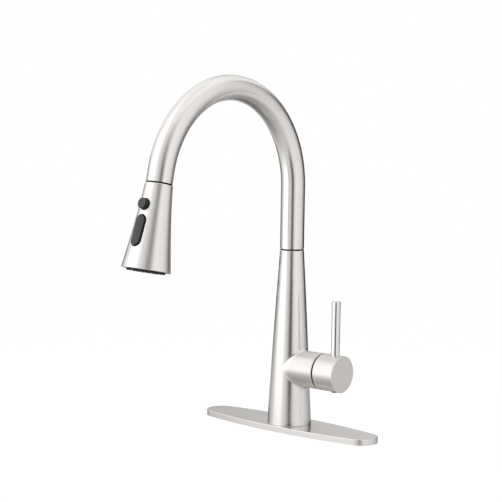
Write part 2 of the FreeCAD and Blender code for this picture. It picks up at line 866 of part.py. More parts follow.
def inlet_washer():
    top = NECK_DEPTH - WASHER_THICKNESS
    return in_head(pipe(NECK_BORE - FIT, HOSE_BORE, UP * -top, UP * -NECK_DEPTH))


def spray_head_shell():
    """Flared cover, open at the mouth, with the two openings in its front."""
    corner_end = HEAD_TOP + HEAD_CORNER
    corner_middle = (HEAD_TOP + 0.3 * HEAD_CORNER, HEAD_TOP_RADIUS - 0.3 * HEAD_CORNER)
    stations = [HEAD_LENGTH * share for share in (0.15, 0.3, 0.45, 0.6, 0.75, 0.9)]
    stations.append(HEAD_LENGTH - 0.5)
    outer = headwise(
        [
            (HEAD_TOP, 0),
            (HEAD_TOP, HEAD_TOP_RADIUS - HEAD_CORNER),
            (corner_middle, (corner_end, head_radius(corner_end))),
            [(depth, head_radius(depth)) for depth in stations],
            (HEAD_LENGTH, head_radius(HEAD_LENGTH) - 0.5),
            (HEAD_LENGTH, 0),
        ]
    )
    inner = flare(HEAD_WALL, HEAD_TOP + HEAD_WALL, HEAD_LENGTH + 1)
    neck = rod(NECK_OPENING, UP * -HEAD_TOP, UP * -(HEAD_TOP + HEAD_WALL + 1))
    margin = RIM_WIDTH + GAP / 2
    button = on_front(post(button_bore() + margin, 0, 0, -8, 8), BUTTON_AT)
    rocker = on_front(rocker_oval(ROCKER_GAP + margin, -8, 8), ROCKER_AT)
    return in_head(outer.cut([inner, neck, button, rocker]))


def rocker_oval(margin, low, high):
    return stadium(ROCKER_HALF_WIDTH + margin, ROCKER_HALF_LENGTH + margin, low, high)


def button_bezel():
    """Black frame behind the shell: rims round the controls, the button's pocket, two cheeks."""
    wide = BEZEL_HALF_WIDTH
    window = block((-wide, -40, -BEZEL_END), (wide, -5, -BEZEL_START))
    plate_front = HEAD_WALL + 0.4
    behind_plate = flare(plate_front + BEZEL_WALL, BEZEL_START - 1, BEZEL_END + 4)
    plate = flare(plate_front, BEZEL_START, BEZEL_END + 3).cut(behind_plate).common(window)
    pocket_outer = button_bore() + POCKET_STEP + POCKET_WALL
    pocket = on_front(post(pocket_outer, 0, 0, POCKET_FLOOR - 1, 0), BUTTON_AT)
    cheeks = on_front(rocker_oval(ROCKER_GAP + CHEEK_WIDTH, -6.5, -1), ROCKER_AT).common(window)
    under_shell = flare(HEAD_WALL + 0.25, BEZEL_START - 5, BEZEL_END + 8)
    behind = [solid.common(under_shell) for solid in (pocket, cheeks)]
    rims = [
        on_front(post(button_bore() + RIM_WIDTH, 0, 0, -5, 3), BUTTON_AT),
        on_front(rocker_oval(ROCKER_GAP + RIM_WIDTH, -5, 3), ROCKER_AT),
    ]
    at_rim = flare(RIM_SINK, BEZEL_START - 5, BEZEL_END + 8)
    rims = [rim.common(at_rim) for rim in rims]
    frame = joined([plate] + behind + rims)
    cuts = [
        on_front(post(button_bore(), 0, 0, POCKET_TOP, 6), BUTTON_AT),
        on_front(post(button_bore() + POCKET_STEP, 0, 0, POCKET_FLOOR, POCKET_TOP), BUTTON_AT),
        on_front(post(BUTTON_STEM + GAP, 0, 0, POCKET_FLOOR - 3, POCKET_FLOOR), BUTTON_AT),
        on_front(rocker_oval(ROCKER_GAP, -12, 6), ROCKER_AT),
        on_front(rocker_pin_bar(ROCKER_PIN_RADIUS), ROCKER_AT),
    ]
    return in_head(frame.cut(cuts))


def rocker_pin_bar(radius):
    reach = ROCKER_HALF_WIDTH + ROCKER_GAP + 0.95
    depth = -ROCKER_PIVOT_DEPTH
    return rod(radius, Vector(-reach, 0, depth), Vector(reach, 0, depth))


def pause_button():
    """Round button with a retaining flange under the bezel's rim and a stem to the pause valve."""
    edge = 0.6
    flange_top = POCKET_TOP - 0.15
    flange_bottom = flange_top - FLANGE_HEIGHT
    edge_middle = (BUTTON_STAND - 0.3 * edge, BUTTON_RADIUS - 0.3 * edge)
    button = spun(
        [
            (BUTTON_TIP, 0),
            (BUTTON_TIP, BUTTON_STEM),
            (BUTTON_FLOOR, BUTTON_STEM),
            (BUTTON_FLOOR, BUTTON_RADIUS - 1.0),
            (flange_bottom, BUTTON_RADIUS - 1.0),
            (flange_bottom, BUTTON_RADIUS + POCKET_STEP),
            (flange_top, BUTTON_RADIUS + POCKET_STEP),
            (flange_top, BUTTON_RADIUS),
            (BUTTON_STAND - edge, BUTTON_RADIUS),
            (edge_middle, (BUTTON_STAND, BUTTON_RADIUS - edge)),
            (BUTTON_STAND, 0),
        ],
        Vector(),
        UP,
        BACK,
    )
    return in_head(on_front(button, BUTTON_AT))


def button_spring():
    """Coil spring between the pocket's floor and the button, in half turns tilted to and fro."""
    low, high = POCKET_FLOOR + SPRING_WIRE, BUTTON_FLOOR - SPRING_WIRE
    rise = (high - low) / (2 * SPRING_TURNS)
    tilt = math.atan2(rise / 2, SPRING_RADIUS)
    halves = []
    for i in range(2 * SPRING_TURNS):
        side = 1 if i % 2 == 0 else -1
        start = Vector(side * SPRING_RADIUS, 0, low + i * rise)
        section = Part.Face(Part.Wire(Part.Circle(start, BACK, SPRING_WIRE).toShape()))
        axis = Vector(side * math.sin(tilt), 0, math.cos(tilt))
        halves.append(section.revolve(Vector(0, 0, start.z + rise / 2), axis, 180))
    return in_head(on_front(joined(halves), BUTTON_AT))


def pause_valve_seal():
    """Rubber disc on the end of the button's stem."""
    return in_head(on_front(post(3.0, 0, 0, BUTTON_TIP - 1.4, BUTTON_TIP), BUTTON_AT))


def mode_rocker():
    """Oval rocker with a crowned face, a lug on the pin and an arm into the diverter spool."""
    body = rocker_oval(0, -3.4, ROCKER_STAND)
    crown = rod(
        ROCKER_CROWN,
        Vector(0, -ROCKER_HALF_LENGTH - 5, ROCKER_STAND - ROCKER_CROWN),
        Vector(0, ROCKER_HALF_LENGTH + 5, ROCKER_STAND - ROCKER_CROWN),
    )
    body = body.common(crown)
    lug = block((-4.2, -3, -6.2), (4.2, 3, -3.0))
    thin = ARM_RADIUS - 0.35
    arm = block((-1.2, -thin, -SPOOL_DEPTH), (1.2, thin, -6))
    tip = rod(ARM_RADIUS, Vector(-1.2, 0, -SPOOL_DEPTH), Vector(1.2, 0, -SPOOL_DEPTH))
    rocker = joined([body, lug, arm, tip]).cut(rocker_pin_bar(ROCKER_PIN_RADIUS + FIT))
    return in_head(on_front(rocker, ROCKER_AT))


def rocker_pin():
    return in_head(on_front(rocker_pin_bar(ROCKER_PIN_RADIUS), ROCKER_AT))


def spool_bar(radius, half_length):
    start = Vector(0, -half_length, -SPOOL_DEPTH)
    return rod(radius, start, start + BACK * 2 * half_length)


def diverter_spool():
    """Small spool valve that the rocker's arm shifts along the head."""
    spool = spool_bar(SPOOL_RADIUS, SPOOL_HALF_LENGTH)
    half_notch = ARM_RADIUS + FIT
    notch = block((-3, -half_notch, -SPOOL_DEPTH - 1.4), (3, half_notch, -SPOOL_DEPTH + 3))
    return in_head(on_front(spool.cut(notch), ROCKER_AT))


def head_core():
    """Water way inside the head: threaded neck, waist with the valves, spray chamber at the mouth."""
    top = HEAD_TOP + HEAD_WALL
    neck = rod(head_radius(top) - HEAD_WALL - 0.7, UP * -top, UP * -(NECK_DEPTH + 2))
    waist_at = Vector(0, WAIST_BACK, 0)
    waist = rod(WAIST_RADIUS, waist_at + UP * -NECK_DEPTH, waist_at + UP * -CHAMBER_TOP)
    valve = on_front(block((-4.4, -11, -16), (4.4, 11, -7.0)), ROCKER_AT)
    chamber = headwise(
        [
            (CHAMBER_TOP - 3, 0),
            (CHAMBER_TOP - 3, head_radius(CHAMBER_TOP - 3) - HEAD_WALL - GAP),
            (FACE_TOP, head_radius(FACE_TOP) - HEAD_WALL - GAP),
            (FACE_TOP, 0),
        ]
    ).common(flare(HEAD_WALL + GAP, CHAMBER_TOP - 4, FACE_TOP + 1))
    room = headwise(
        [
            (CHAMBER_TOP, 0),
            (CHAMBER_TOP, head_radius(CHAMBER_TOP) - HEAD_WALL - 2.0),
            (FACE_TOP, head_radius(FACE_TOP) - HEAD_WALL - 2.0),
            (FACE_TOP, 0),
        ]
    )
    sleeve = rod(AERATOR_RADIUS + 1.6, UP * -(CHAMBER_TOP - 1), UP * -FACE_TOP)
    bowl = chamber.cut(room).fuse(sleeve)
    core = joined([neck, waist, valve, bowl])
    plunger_room = on_front(post(3.4, 0, 0, -15.0, -8), BUTTON_AT)
    arm_slot = block((-2.6, -2.2, -SPOOL_DEPTH - 1.6), (2.6, 2.2, -5))
    cuts = [
        rod(NECK_BORE, UP * -(top - 1), UP * -NECK_DEPTH),
        rod(WATER_WAY, waist_at, waist_at + UP * -(CHAMBER_TOP + 2)),
        rod(AERATOR_RADIUS + FIT, UP * -CHAMBER_TOP, UP * -(FACE_TOP + 1)),
        plunger_room,
        on_front(spool_bar(SPOOL_RADIUS + FIT, SPOOL_HALF_LENGTH + 1.5), ROCKER_AT),
        on_front(arm_slot, ROCKER_AT),
    ]
    return in_head(core.cut(cuts))


def check_valve():
    """Small non-return cartridge in the head's water way."""
    start, end = NECK_DEPTH + 1, NECK_DEPTH + 1 + VALVE_LENGTH
    outer = WATER_WAY - FIT
    return in_head(
        spun(
            [
                (start, 2.4),
                (start, outer),
                (end, outer),
                (end, 1.2),
                (end - 2, 1.2),
                (end - 5, 2.4),
            ],
            Vector(0, WAIST_BACK, 0),
            UP * -1,
            BACK,
        )
    )


def nozzle_places():
    return [place for radius, count in NOZZLE_RINGS for place in on_circle(radius, count, 7.5)]


def nozzle_pad():
    """Soft pad whose nozzles stand through the spray face."""
    top, bottom = FACE_TOP, FACE_TOP + PAD_THICKNESS
    tip = HEAD_LENGTH + NOZZLE_STAND
    pad = pipe(FACE_RADIUS - 1.2, AERATOR_RADIUS + 1.0, UP * -top, UP * -bottom)
    nozzles = [
        Part.makeCone(NOZZLE_RADIUS, NOZZLE_RADIUS * 0.72, tip - top, Vector(x, y, -top), UP * -1)
        for x, y in nozzle_places()
    ]
    jets = [post(JET_RADIUS, x, y, -tip - 1, -top + 1) for x, y in nozzle_places()]
    return in_head(joined([pad] + nozzles).cut(jets))


def spray_face():
    """Dark face plate at the head's mouth."""
    top, bottom = FACE_TOP, HEAD_LENGTH - FACE_SETBACK
    inner = AERATOR_RADIUS + 0.6
    plate = headwise(
        [
            (top, FACE_RADIUS - 1.1),
            (top, head_radius(top) - HEAD_WALL - FIT),
            (top + PAD_THICKNESS, head_radius(top) - HEAD_WALL - FIT),
            (bottom - 0.5, FACE_RADIUS),
            (bottom, FACE_RADIUS - 0.5),
            (bottom, inner),
            (top + PAD_THICKNESS, inner),
            (top + PAD_THICKNESS, FACE_RADIUS - 1.1),
        ]
    )
    holes = [
        post(NOZZLE_RADIUS + FIT, x, y, -HEAD_LENGTH - 1, -top) for x, y in nozzle_places()
    ]
    return in_head(plate.cut(holes))


def aerator_housing():
    start, end = FACE_TOP - 9, HEAD_LENGTH - 0.4
    lip = AERATOR_RADIUS - 1.2
    return in_head(
        headwise(
            [
                (start, lip - 1.5),
                (start, AERATOR_RADIUS),
                (end, AERATOR_RADIUS),
                (end, lip),
                (end - 3, lip),
                (end - 3, lip - 1.5),
            ]
        )
    )


def aerator_screen():
    """Honeycomb plate in the aerator's mouth."""
    end = HEAD_LENGTH - 0.9
    start = end - 2.0
    plate = rod(AERATOR_RADIUS - 1.2 - FIT, UP * -start, UP * -end)
    cells = [(0.0, 0.0)] + on_circle(2.6, 6) + on_circle(5.2, 6) + on_circle(4.5, 6, 30)
    cells += on_circle(7.0, 12, 15)
    return in_head(plate.cut([post(0.95, x, y, -end, -start) for x, y in cells]))


# ---------------------------------------------------------------- cartridge


def cartridge_base():
    outline = [(SEAT_X, 0), (SEAT_X, CARTRIDGE_RADIUS), (BASE_END, CARTRIDGE_RADIUS), (BASE_END, 0)]
    cuts = []
    for y, height in seat_ports():
        seat = CHANNEL_RADIUS + 2.1 * RING_SECTION
        cuts.append(crossbar(CHANNEL_RADIUS, y, height, SEAT_X - 1, BASE_END + 1))
        cuts.append(crossbar(seat, y, height, SEAT_X - 1, SEAT_X + 2 * RING_SECTION))
    return sideways(outline).cut(cuts)


def cartridge_seals():
    mean = CHANNEL_RADIUS + 1.05 * RING_SECTION
    places = [(SEAT_X + RING_SECTION, y, BOSS_HEIGHT + height) for y, height in seat_ports()]
    return Part.makeCompound([ring(mean, RING_SECTION, Vector(*p), RIGHT) for p in places])


def cartridge_housing():
    inner = CARRIER_RADIUS + GAP
    return sideways(
        [
            (BASE_END, inner),
            (BASE_END, CARTRIDGE_RADIUS),
            (CARTRIDGE_TOP, CARTRIDGE_RADIUS),
            (CARTRIDGE_TOP, CARRIER_NECK + 1.8),
            (NECK_END, CARRIER_NECK + 1.8),
            (NECK_END, CARRIER_NECK + FIT),
            (CARTRIDGE_TOP - 2, CARRIER_NECK + FIT),
            (CARTRIDGE_TOP - 2, inner),
        ]
    )


def fixed_ceramic_disc():
    disc = crossbar(FIXED_DISC_RADIUS, 0, 0, BASE_END, FIXED_END)
    ports = [crossbar(CHANNEL_RADIUS, y, h, BASE_END - 1, FIXED_END + 1) for y, h in seat_ports()]
    return disc.cut(ports)


def moving_ceramic_disc():
    """Disc with a mixing pocket in its wet face; the slider pushes it up and down."""
    disc = crossbar(MOVING_DISC_RADIUS, 0, -DISC_REST_DROP, FIXED_END, MOVING_END)
    pocket_radius = MOVING_DISC_RADIUS - MIX_POCKET_WALL
    pocket_end = FIXED_END + MIX_POCKET_DEPTH
    pocket = crossbar(pocket_radius, 0, -DISC_REST_DROP, FIXED_END - 1, pocket_end)
    return disc.cut(pocket)


def disc_slider():
    """Block behind the moving disc, flat on two sides, with a slot for the stem's ball."""
    slider = crossbar(MOVING_DISC_RADIUS, 0, -DISC_REST_DROP, MOVING_END, SLIDER_END)
    guide = GUIDE_HALF_WIDTH
    between = block((0, -guide, BOSS_HEIGHT - 30), (60, guide, BOSS_HEIGHT + 30))
    half_width = STEM_BALL + 0.15
    slot = block(
        (PIVOT_X - STEM_REACH - STEM_BALL - 0.6, -3.2, BOSS_HEIGHT - half_width),
        (SLIDER_END + 1, 3.2, BOSS_HEIGHT + half_width),
    )
    return slider.common(between).cut(slot)


def stem_carrier():
    """Turntable that turns for temperature, guides the slider and holds the stem's pin."""
    body = sideways(
        [
            (CARRIER_START, 0),
            (CARRIER_START, CARRIER_RADIUS),
            (CARTRIDGE_TOP - 2.1, CARRIER_RADIUS),
            (CARTRIDGE_TOP - 2.1, CARRIER_NECK),
            (NECK_END - 0.5, CARRIER_NECK),
            (NECK_END - 0.5, 0),
        ]
    )
    skirt = crossbar(CARRIER_RADIUS, 0, 0, MOVING_END + GAP, CARRIER_START)
    guide = GUIDE_HALF_WIDTH + GAP
    between = block((0, -guide, BOSS_HEIGHT - 30), (60, guide, BOSS_HEIGHT + 30))
    side, rise = STEM_NECK + GAP, 9.5
    slot = block((0, -side, BOSS_HEIGHT - rise), (60, side, BOSS_HEIGHT + rise))
    carrier = body.fuse(skirt.cut(between)).removeSplitter()
    return carrier.cut([slot, stem_pin_bar(STEM_PIN_RADIUS)])


def stem_pin_bar(radius):
    return rod(radius, PIVOT - BACK * STEM_PIN_REACH, PIVOT + BACK * STEM_PIN_REACH)


def stem_pivot_pin():
    return stem_pin_bar(STEM_PIN_RADIUS)


def cartridge_stem():
    """Stem that tilts on its pin, with a ball in the slider and a square in the handle."""
    ball_x = PIVOT_X - STEM_REACH
    half = STEM_SQUARE / 2
    square_start = PIVOT_X + STEM_SQUARE_START
    square = block(
        (square_start, -half, BOSS_HEIGHT - half), (STEM_END, half, BOSS_HEIGHT + half)
    )
    square = square.common(crossbar(half * 1.28, 0, 0, square_start, STEM_END))
    neck = STEM_NECK
    hub = block(
        (PIVOT_X - 4, -neck, BOSS_HEIGHT - neck), (PIVOT_X + 4, neck, BOSS_HEIGHT + neck)
    )
    parts = [
        Part.makeSphere(STEM_BALL, Vector(ball_x, 0, BOSS_HEIGHT)),
        crossbar(STEM_BALL - 1, 0, 0, ball_x, PIVOT_X - 9),
        crossbar(3.0, 0, 0, PIVOT_X - 9.5, PIVOT_X),
        hub,
        crossbar(neck, 0, 0, PIVOT_X, square_start),
        square,
    ]
    return joined(parts).cut(stem_pin_bar(STEM_PIN_RADIUS + FIT))


def cartridge_nut():
    """Brass ring screwed into the boss, which holds the cartridge down."""
    end = NECK_END + 0.6
    inner = CARRIER_NECK + 2.3
    nut = sideways(
        [
            (CARTRIDGE_TOP, inner),
            (CARTRIDGE_TOP, BOSS_BORE - FIT),
            (end, BOSS_BORE - FIT),
            (end, inner),
        ]
    )
    notches = [
        crossbar(1.5, y, z, CARTRIDGE_TOP + 2, end + 1) for y, z in on_circle(BOSS_BORE - 1.5, 6)
    ]
    return nut.cut(notches)


def dome_bonnet():
    """Domed ring screwed into the boss's end, round which the hollow cap swings."""
    skirt_inner = BOSS_BORE - 2.1
    inner_sphere = BONNET_SPHERE - BONNET_WALL
    mouth = math.radians(BONNET_MOUTH)
    foot = math.sqrt(BONNET_SPHERE**2 - (BOSS_END - PIVOT_X) ** 2)
    foot_angle = math.asin(foot / BONNET_SPHERE)
    meet = math.asin(skirt_inner / inner_sphere)

    def on_outside(angle):
        return PIVOT_X + BONNET_SPHERE * math.cos(angle), BONNET_SPHERE * math.sin(angle)

    def on_inside(angle):
        return PIVOT_X + inner_sphere * math.cos(angle), inner_sphere * math.sin(angle)

    return sideways(
        [
            (NECK_END + 0.9, skirt_inner),
            (NECK_END + 0.9, BOSS_BORE - FIT),
            (BOSS_END, BOSS_BORE - FIT),
            (BOSS_END, foot),
            (on_outside((foot_angle + mouth) / 2), on_outside(mouth)),
            on_inside(mouth),
            (on_inside((meet + mouth) / 2), on_inside(meet)),
        ]
    )


# ---------------------------------------------------------------- handle


def handle_cap():
    """Round cap, hollowed to a sphere about the stem's pin so that it tips clear of the boss."""
    cap = sideways(
        [
            (CAP_START, 0),
            (CAP_START, CAP_RIM),
            (CAP_START + CAP_EDGE, BOSS_RADIUS),
            (CAP_END - CAP_EDGE, BOSS_RADIUS),
            (CAP_END, CAP_RIM),
            (CAP_END, 0),
        ]
    )
    half = STEM_SQUARE / 2 + FIT
    socket = block(
        (CAP_START, -half, BOSS_HEIGHT - half), (STEM_END + 0.5, half, BOSS_HEIGHT + half)
    )
    seat = CAP_TOP - LEVER_SINK
    plug_top = CAP_BOTTOM + PLUG_DEPTH
    cuts = [
        Part.makeSphere(CAP_HOLLOW, PIVOT),
        socket,
        crossbar(STEM_NECK + GAP, 0, 0, CAP_START, PIVOT_X + STEM_SQUARE_START + 0.5),
        post(LEVER_RADIUS + FIT, LEVER_X, 0, seat, CAP_TOP + 1),
        post(LEVER_THREAD + FIT, LEVER_X, 0, seat - LEVER_BITE, CAP_TOP),
        post(SCREW_RADIUS, LEVER_X, 0, plug_top, BOSS_HEIGHT),
        post(PLUG_RADIUS, LEVER_X, 0, CAP_BOTTOM - 1, plug_top),
    ]
    return cap.cut(cuts)


def lever_rod():
    """Slim straight lever with a threaded foot in the cap."""
    seat = CAP_TOP - LEVER_SINK
    edge = LEVER_TIP_EDGE
    edge_middle = (LEVER_TOP - 0.3 * edge, LEVER_RADIUS - 0.3 * edge)
    return spun(
        [
            (seat - LEVER_BITE + 0.5, 0),
            (seat - LEVER_BITE + 0.5, LEVER_THREAD),
            (seat, LEVER_THREAD),
            (seat, LEVER_RADIUS),
            (LEVER_TOP - edge, LEVER_RADIUS),
            (edge_middle, (LEVER_TOP, LEVER_RADIUS - edge)),
            (LEVER_TOP, 0),
        ],
        Vector(LEVER_X, 0, 0),
        UP,
        BACK,
    )


def handle_set_screw():
    """Socket set screw that clamps the cap on the stem's square."""
    top = BOSS_HEIGHT - STEM_SQUARE / 2
    bottom = CAP_BOTTOM + PLUG_DEPTH + 1
    screw = post(SCREW_RADIUS - FIT, LEVER_X, 0, bottom, top)
    corners = [Vector(LEVER_X + x, y, bottom) for x, y in on_circle(1.45, 6)]
    key = Part.Face(Part.makePolygon(corners + corners[:1])).extrude(UP * 3)
    return screw.cut(key)


def set_screw_plug():
    """Black plug over the set screw, standing a little out of the cap's underside."""
    low = CAP_BOTTOM - PLUG_STAND
    high = CAP_BOTTOM + PLUG_DEPTH
    side = PLUG_RADIUS - FIT
    return spun(
        [(low, 0), (low, side - 0.5), (low + 0.5, side), (high, side), (high, 0)],
        Vector(LEVER_X, 0, 0),
        UP,
        BACK,
    )


NODES = {
    "deck_plate": deck_plate,
    "plate_gasket": plate_gasket,
    "base_seal": base_seal,
    "threaded_shank": threaded_shank,
    "rubber_washer": rubber_washer,
    "metal_washer": metal_washer,
    "mounting_nut": mounting_nut,
    "jack_screws": jack_screws,
    "inlet_manifold": inlet_manifold,
    "manifold_o_rings": manifold_o_rings,
    "outlet_nipple": outlet_nipple,
    "nipple_o_rings": nipple_o_rings,
    "body_column": body_column,
    "lower_swivel_bush": lambda: swivel_bush(bush_heights()[0]),
    "upper_swivel_bush": lambda: swivel_bush(bush_heights()[1]),
    "seam_ring": seam_ring,
    "spout_tube": spout_tube,
    "spout_spigot": spout_spigot,
    "spout_friction_ring": spout_friction_ring,
    "spout_retaining_clip": spout_retaining_clip,
    "dock_collar": dock_collar,
    "pull_down_hose": pull_down_hose,
    "hose_coupling": hose_coupling,
    "hose_ferrule": hose_ferrule,
    "hose_end_fitting": hose_end_fitting,
    "inlet_washer": inlet_washer,
    "spray_head_shell": spray_head_shell,
    "head_core": head_core,
    "check_valve": check_valve,
    "button_bezel": button_bezel,
    "pause_button": pause_button,
    "button_spring": button_spring,
    "pause_valve_seal": pause_valve_seal,
    "mode_rocker": mode_rocker,
    "rocker_pin": rocker_pin,
    "diverter_spool": diverter_spool,
    "nozzle_pad": nozzle_pad,
    "spray_face": spray_face,
    "aerator_housing": aerator_housing,
    "aerator_screen": aerator_screen,
    "cartridge_base": cartridge_base,
    "cartridge_seals": cartridge_seals,
    "cartridge_housing": cartridge_housing,
    "fixed_ceramic_disc": fixed_ceramic_disc,
    "moving_ceramic_disc": moving_ceramic_disc,
    "disc_slider": disc_slider,
    "stem_carrier": stem_carrier,
    "stem_pivot_pin": stem_pivot_pin,
    "cartridge_stem": cartridge_stem,
    "cartridge_nut": cartridge_nut,
    "dome_bonnet": dome_bonnet,
    "handle_cap": handle_cap,
    "lever_rod": lever_rod,
    "handle_set_screw": handle_set_screw,
    "set_screw_plug": set_screw_plug,
}

os.makedirs("parts", exist_ok=True)
for name, make in NODES.items():
    shape = make()
    shape.exportStep(f"parts/{name}.step")
    print(f"{name}: {len(shape.Solids)} solids, {shape.Volume:.0f} mm3, valid {shape.isValid()}")
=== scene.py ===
"""Looks of the pull-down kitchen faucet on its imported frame: finishes, the hose, studio and camera."""

import json
import math

import bmesh
import bpy
from mathutils import Matrix, Vector

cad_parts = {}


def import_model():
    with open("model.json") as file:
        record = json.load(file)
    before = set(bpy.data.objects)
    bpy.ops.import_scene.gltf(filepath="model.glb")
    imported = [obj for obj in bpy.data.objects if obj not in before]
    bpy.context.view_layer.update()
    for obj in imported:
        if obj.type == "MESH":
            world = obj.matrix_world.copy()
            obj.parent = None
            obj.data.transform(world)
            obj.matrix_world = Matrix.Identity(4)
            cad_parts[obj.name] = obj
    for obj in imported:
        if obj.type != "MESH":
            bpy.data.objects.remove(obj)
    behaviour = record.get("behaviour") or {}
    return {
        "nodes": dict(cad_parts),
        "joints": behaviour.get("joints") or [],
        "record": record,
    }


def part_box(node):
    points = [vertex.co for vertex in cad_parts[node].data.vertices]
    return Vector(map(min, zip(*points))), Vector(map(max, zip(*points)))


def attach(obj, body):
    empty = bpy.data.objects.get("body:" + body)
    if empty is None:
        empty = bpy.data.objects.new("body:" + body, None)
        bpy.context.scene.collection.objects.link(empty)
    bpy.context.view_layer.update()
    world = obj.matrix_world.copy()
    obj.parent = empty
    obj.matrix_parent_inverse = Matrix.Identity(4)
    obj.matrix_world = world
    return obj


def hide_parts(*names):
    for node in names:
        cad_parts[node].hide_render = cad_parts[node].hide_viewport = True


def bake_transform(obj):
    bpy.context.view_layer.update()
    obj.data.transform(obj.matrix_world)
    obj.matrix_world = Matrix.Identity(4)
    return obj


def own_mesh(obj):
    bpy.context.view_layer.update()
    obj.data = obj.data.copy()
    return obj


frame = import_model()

UP = Vector((0, 0, 1))
RIGHT = Vector((1, 0, 0))
# Axes of the brushing, a little off the true ones, so that none is quite square to a flat face
ALONG_BOSS = Vector((0.998, 0, 0.06))
ALONG_LEVER = Vector((0.06, 0, 0.998))
ACROSS_PLATE = Vector((0, 0.998, 0.06))
NEARLY_UP = Vector((0, 0.06, 0.998))
NODES = frame["nodes"]
JOINTS = {joint["name"]: joint for joint in frame["joints"]}
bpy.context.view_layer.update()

# Camera
CAMERA_AZIMUTH = math.radians(40.177)
CAMERA_ELEVATION = math.radians(5.79)
CAMERA_ROLL = math.radians(0.799)
CAMERA_DISTANCE = 1.6312
CAMERA_LENS = 100.43
AIM_HEIGHT = 0.20865
AIM_RIGHT = -0.0477
SENSOR_WIDTH = 36
CLIP = (0.05, 60)

NOISE_LOW, NOISE_HIGH = 0.25, 0.75  # between which a noise's value mostly is

# Brushed metal
NICKEL = (0.80, 0.775, 0.752)
NICKEL_DARK = (0.785, 0.76, 0.737)
BRUSH_LINES = 1500.0  # noise scale across the brush lines, and along them
BRUSH_RUN = 25.0
BRUSH_DETAIL = 3.0
BRUSH_BUMP = 0.012
TINT_CLOUDS = 14.0
BRUSH_SWING = 0.015  # how far the roughness strays to each side
BODY_FOOT = 0.02636  # the column's radius round the boss is this less the taper times the height
BODY_TAPER = 0.0563
BOSS_FROM, BOSS_FULL = 0.0004, 0.003  # how far past the column the boss's brushing starts and is full
BOSS_ROUGHER = 0.14  # added to the boss's roughness
PLATE_SHOULDER = 0.0065

# Plastic, rubber and ceramic
PITS = 1800.0
PIT_BUMP = 0.12
FINE_DEPTH = 0.00005  # depth of pits and of brush lines
MOULD_CLOUDS = 60.0
MOULD_LIGHTER, MOULD_LIFT = 1.12, 0.002  # a cloud's light colour is the base times the first plus the second
MOULD_SWING = 0.04
BUTTON_FACE = (0.04, 0.04, 0.042)
# painted shade on the controls' sides, much darker than the face's plastic
BUTTON_SIDE_SHADE = (0.004, 0.004, 0.004)
BUTTON_SHINE = 0.35
PLUG_BLACK = (0.004, 0.004, 0.004)
FACE_FROM, FACE_FULL = 0.6, 0.9  # cosine to the button's axis where the sides' painted shade ends and where the face's own colour is full

# Turned metal
RINGS = (40, 40, 2600)
RING_SWING = 0.06
RING_BUMP = 0.1
RING_DEPTH = 0.0001

# Hose's sleeve
# sleeve's colours: the dark one is painted shade down in the weave's grooves, the light one is on the
# strands' crests
SLEEVE_DARK = (0.05, 0.05, 0.052)
SLEEVE_LIGHT = (0.19, 0.19, 0.2)
SLEEVE_ROUGHNESS = 0.62
STRANDS = 12.0  # that go round the hose one way
STRAND_SLANT = 1400.0  # radians of the weave's wave in a metre of hose
WEAVE_BUMP = 0.6
WEAVE_DEPTH = 0.0004

# Stage
DECK_HALF_LENGTH = 0.135
DECK_HALF_WIDTH = 0.06
DECK_GAP = 0.00005  # under the plate's gasket
FLOOR_DROP = 0.45
FLOOR_SIZE = 12.0
FLOOR_THICKNESS = 0.02
FLOOR_PAINT = 0.8  # the floor's grey to every ray that isn't the viewer's
FLOOR_GLOW = 0.93  # its glow to the viewer, and the grey added there, which keeps the shadow
FLOOR_THIN_PAINT = 0.12
FILL = 0.55  # the world's strength to every ray that isn't the viewer's
# Lamps: angle to the right of the camera, elevation, distance, size and power
LAMPS = {
    "key_left": (-80, 25, 1.6, 0.9, 12),
    "fill_right": (45, 35, 1.8, 1.0, 8),
    "top": (0, 88, 1.6, 1.2, 10),
}
LAMP_AIM = 0.2  # height that the lamps point at

# Walls that only reflections see: angle to the right of the camera, brightness at the wall's knee,
# height of its top, brightness there
CYCLORAMA = (
    (-180, 0.60, 1.6, 0.60),
    (-174, 0.56, 1.6, 0.56),
    (-167, 0.10, 0.5, 0.10),
    (-150, 0.16, 0.5, 0.16),
    (-131, 0.36, 0.5, 0.36),
    (-116, 0.75, 0.5, 0.75),
    (-104, 1.00, 3.0, 1.20),
    (-88, 1.60, 3.0, 1.60),
    (-52, 1.60, 3.0, 1.60),
    (-44, 1.15, 3.0, 1.15),
    (-34, 0.92, 1.9, 0.92),
    (18, 0.92, 1.9, 0.92),
    (41, 1.08, 1.6, 1.08),
    (52, 1.06, 1.6, 1.06),
    (60, 0.90, 1.6, 0.90),
    (68, 1.02, 1.6, 1.02),
    (78, 0.92, 1.6, 1.00),
    (97, 0.76, 1.6, 0.95),
    (112, 0.48, 1.6, 0.75),
    (124, 0.24, 1.6, 0.24),
    (132, 0.00, 0.9, 0.00),
    (163, 0.00, 0.9, 0.00),
    (170, 0.72, 1.6, 0.72),
    (176, 0.68, 1.6, 0.68),
    (180, 0.60, 1.6, 0.60),
)
CYCLORAMA_DISTANCE = 1.4
FLAG = (
    (-34, 0.92, 1.0, 0.92),
    (-21, 0.66, 1.0, 0.85),
    (-12, 0.32, 1.0, 0.75),
    (-7, 0.00, 1.0, 0.70),
    (3, 0.00, 1.0, 0.70),
    (8, 0.40, 1.0, 0.75),
    (12, 0.70, 1.0, 0.85),
    (19, 0.92, 1.0, 0.92),
)
FLAG_DISTANCE = 0.7
WALL_BOTTOM = -0.44
WALL_KNEE = 0.15
WALL_FOOT_SHARE = 0.8  # brightness at a wall's foot, as a share of that at its knee
STRIP_ANGLE = 4
# Level round boards: centre, height, and the radius and brightness of each ring
OVERHEAD = ((0, 0), 2.2, ((0.01, 1.0), (0.45, 1.0), (1.1, 1.3)))
MAT = ((-0.25, 0.28), -0.12, ((0.01, 0.1), (0.35, 0.25), (0.6, 0.6), (1.0, 0.95)))
DISC_SIDES = 32

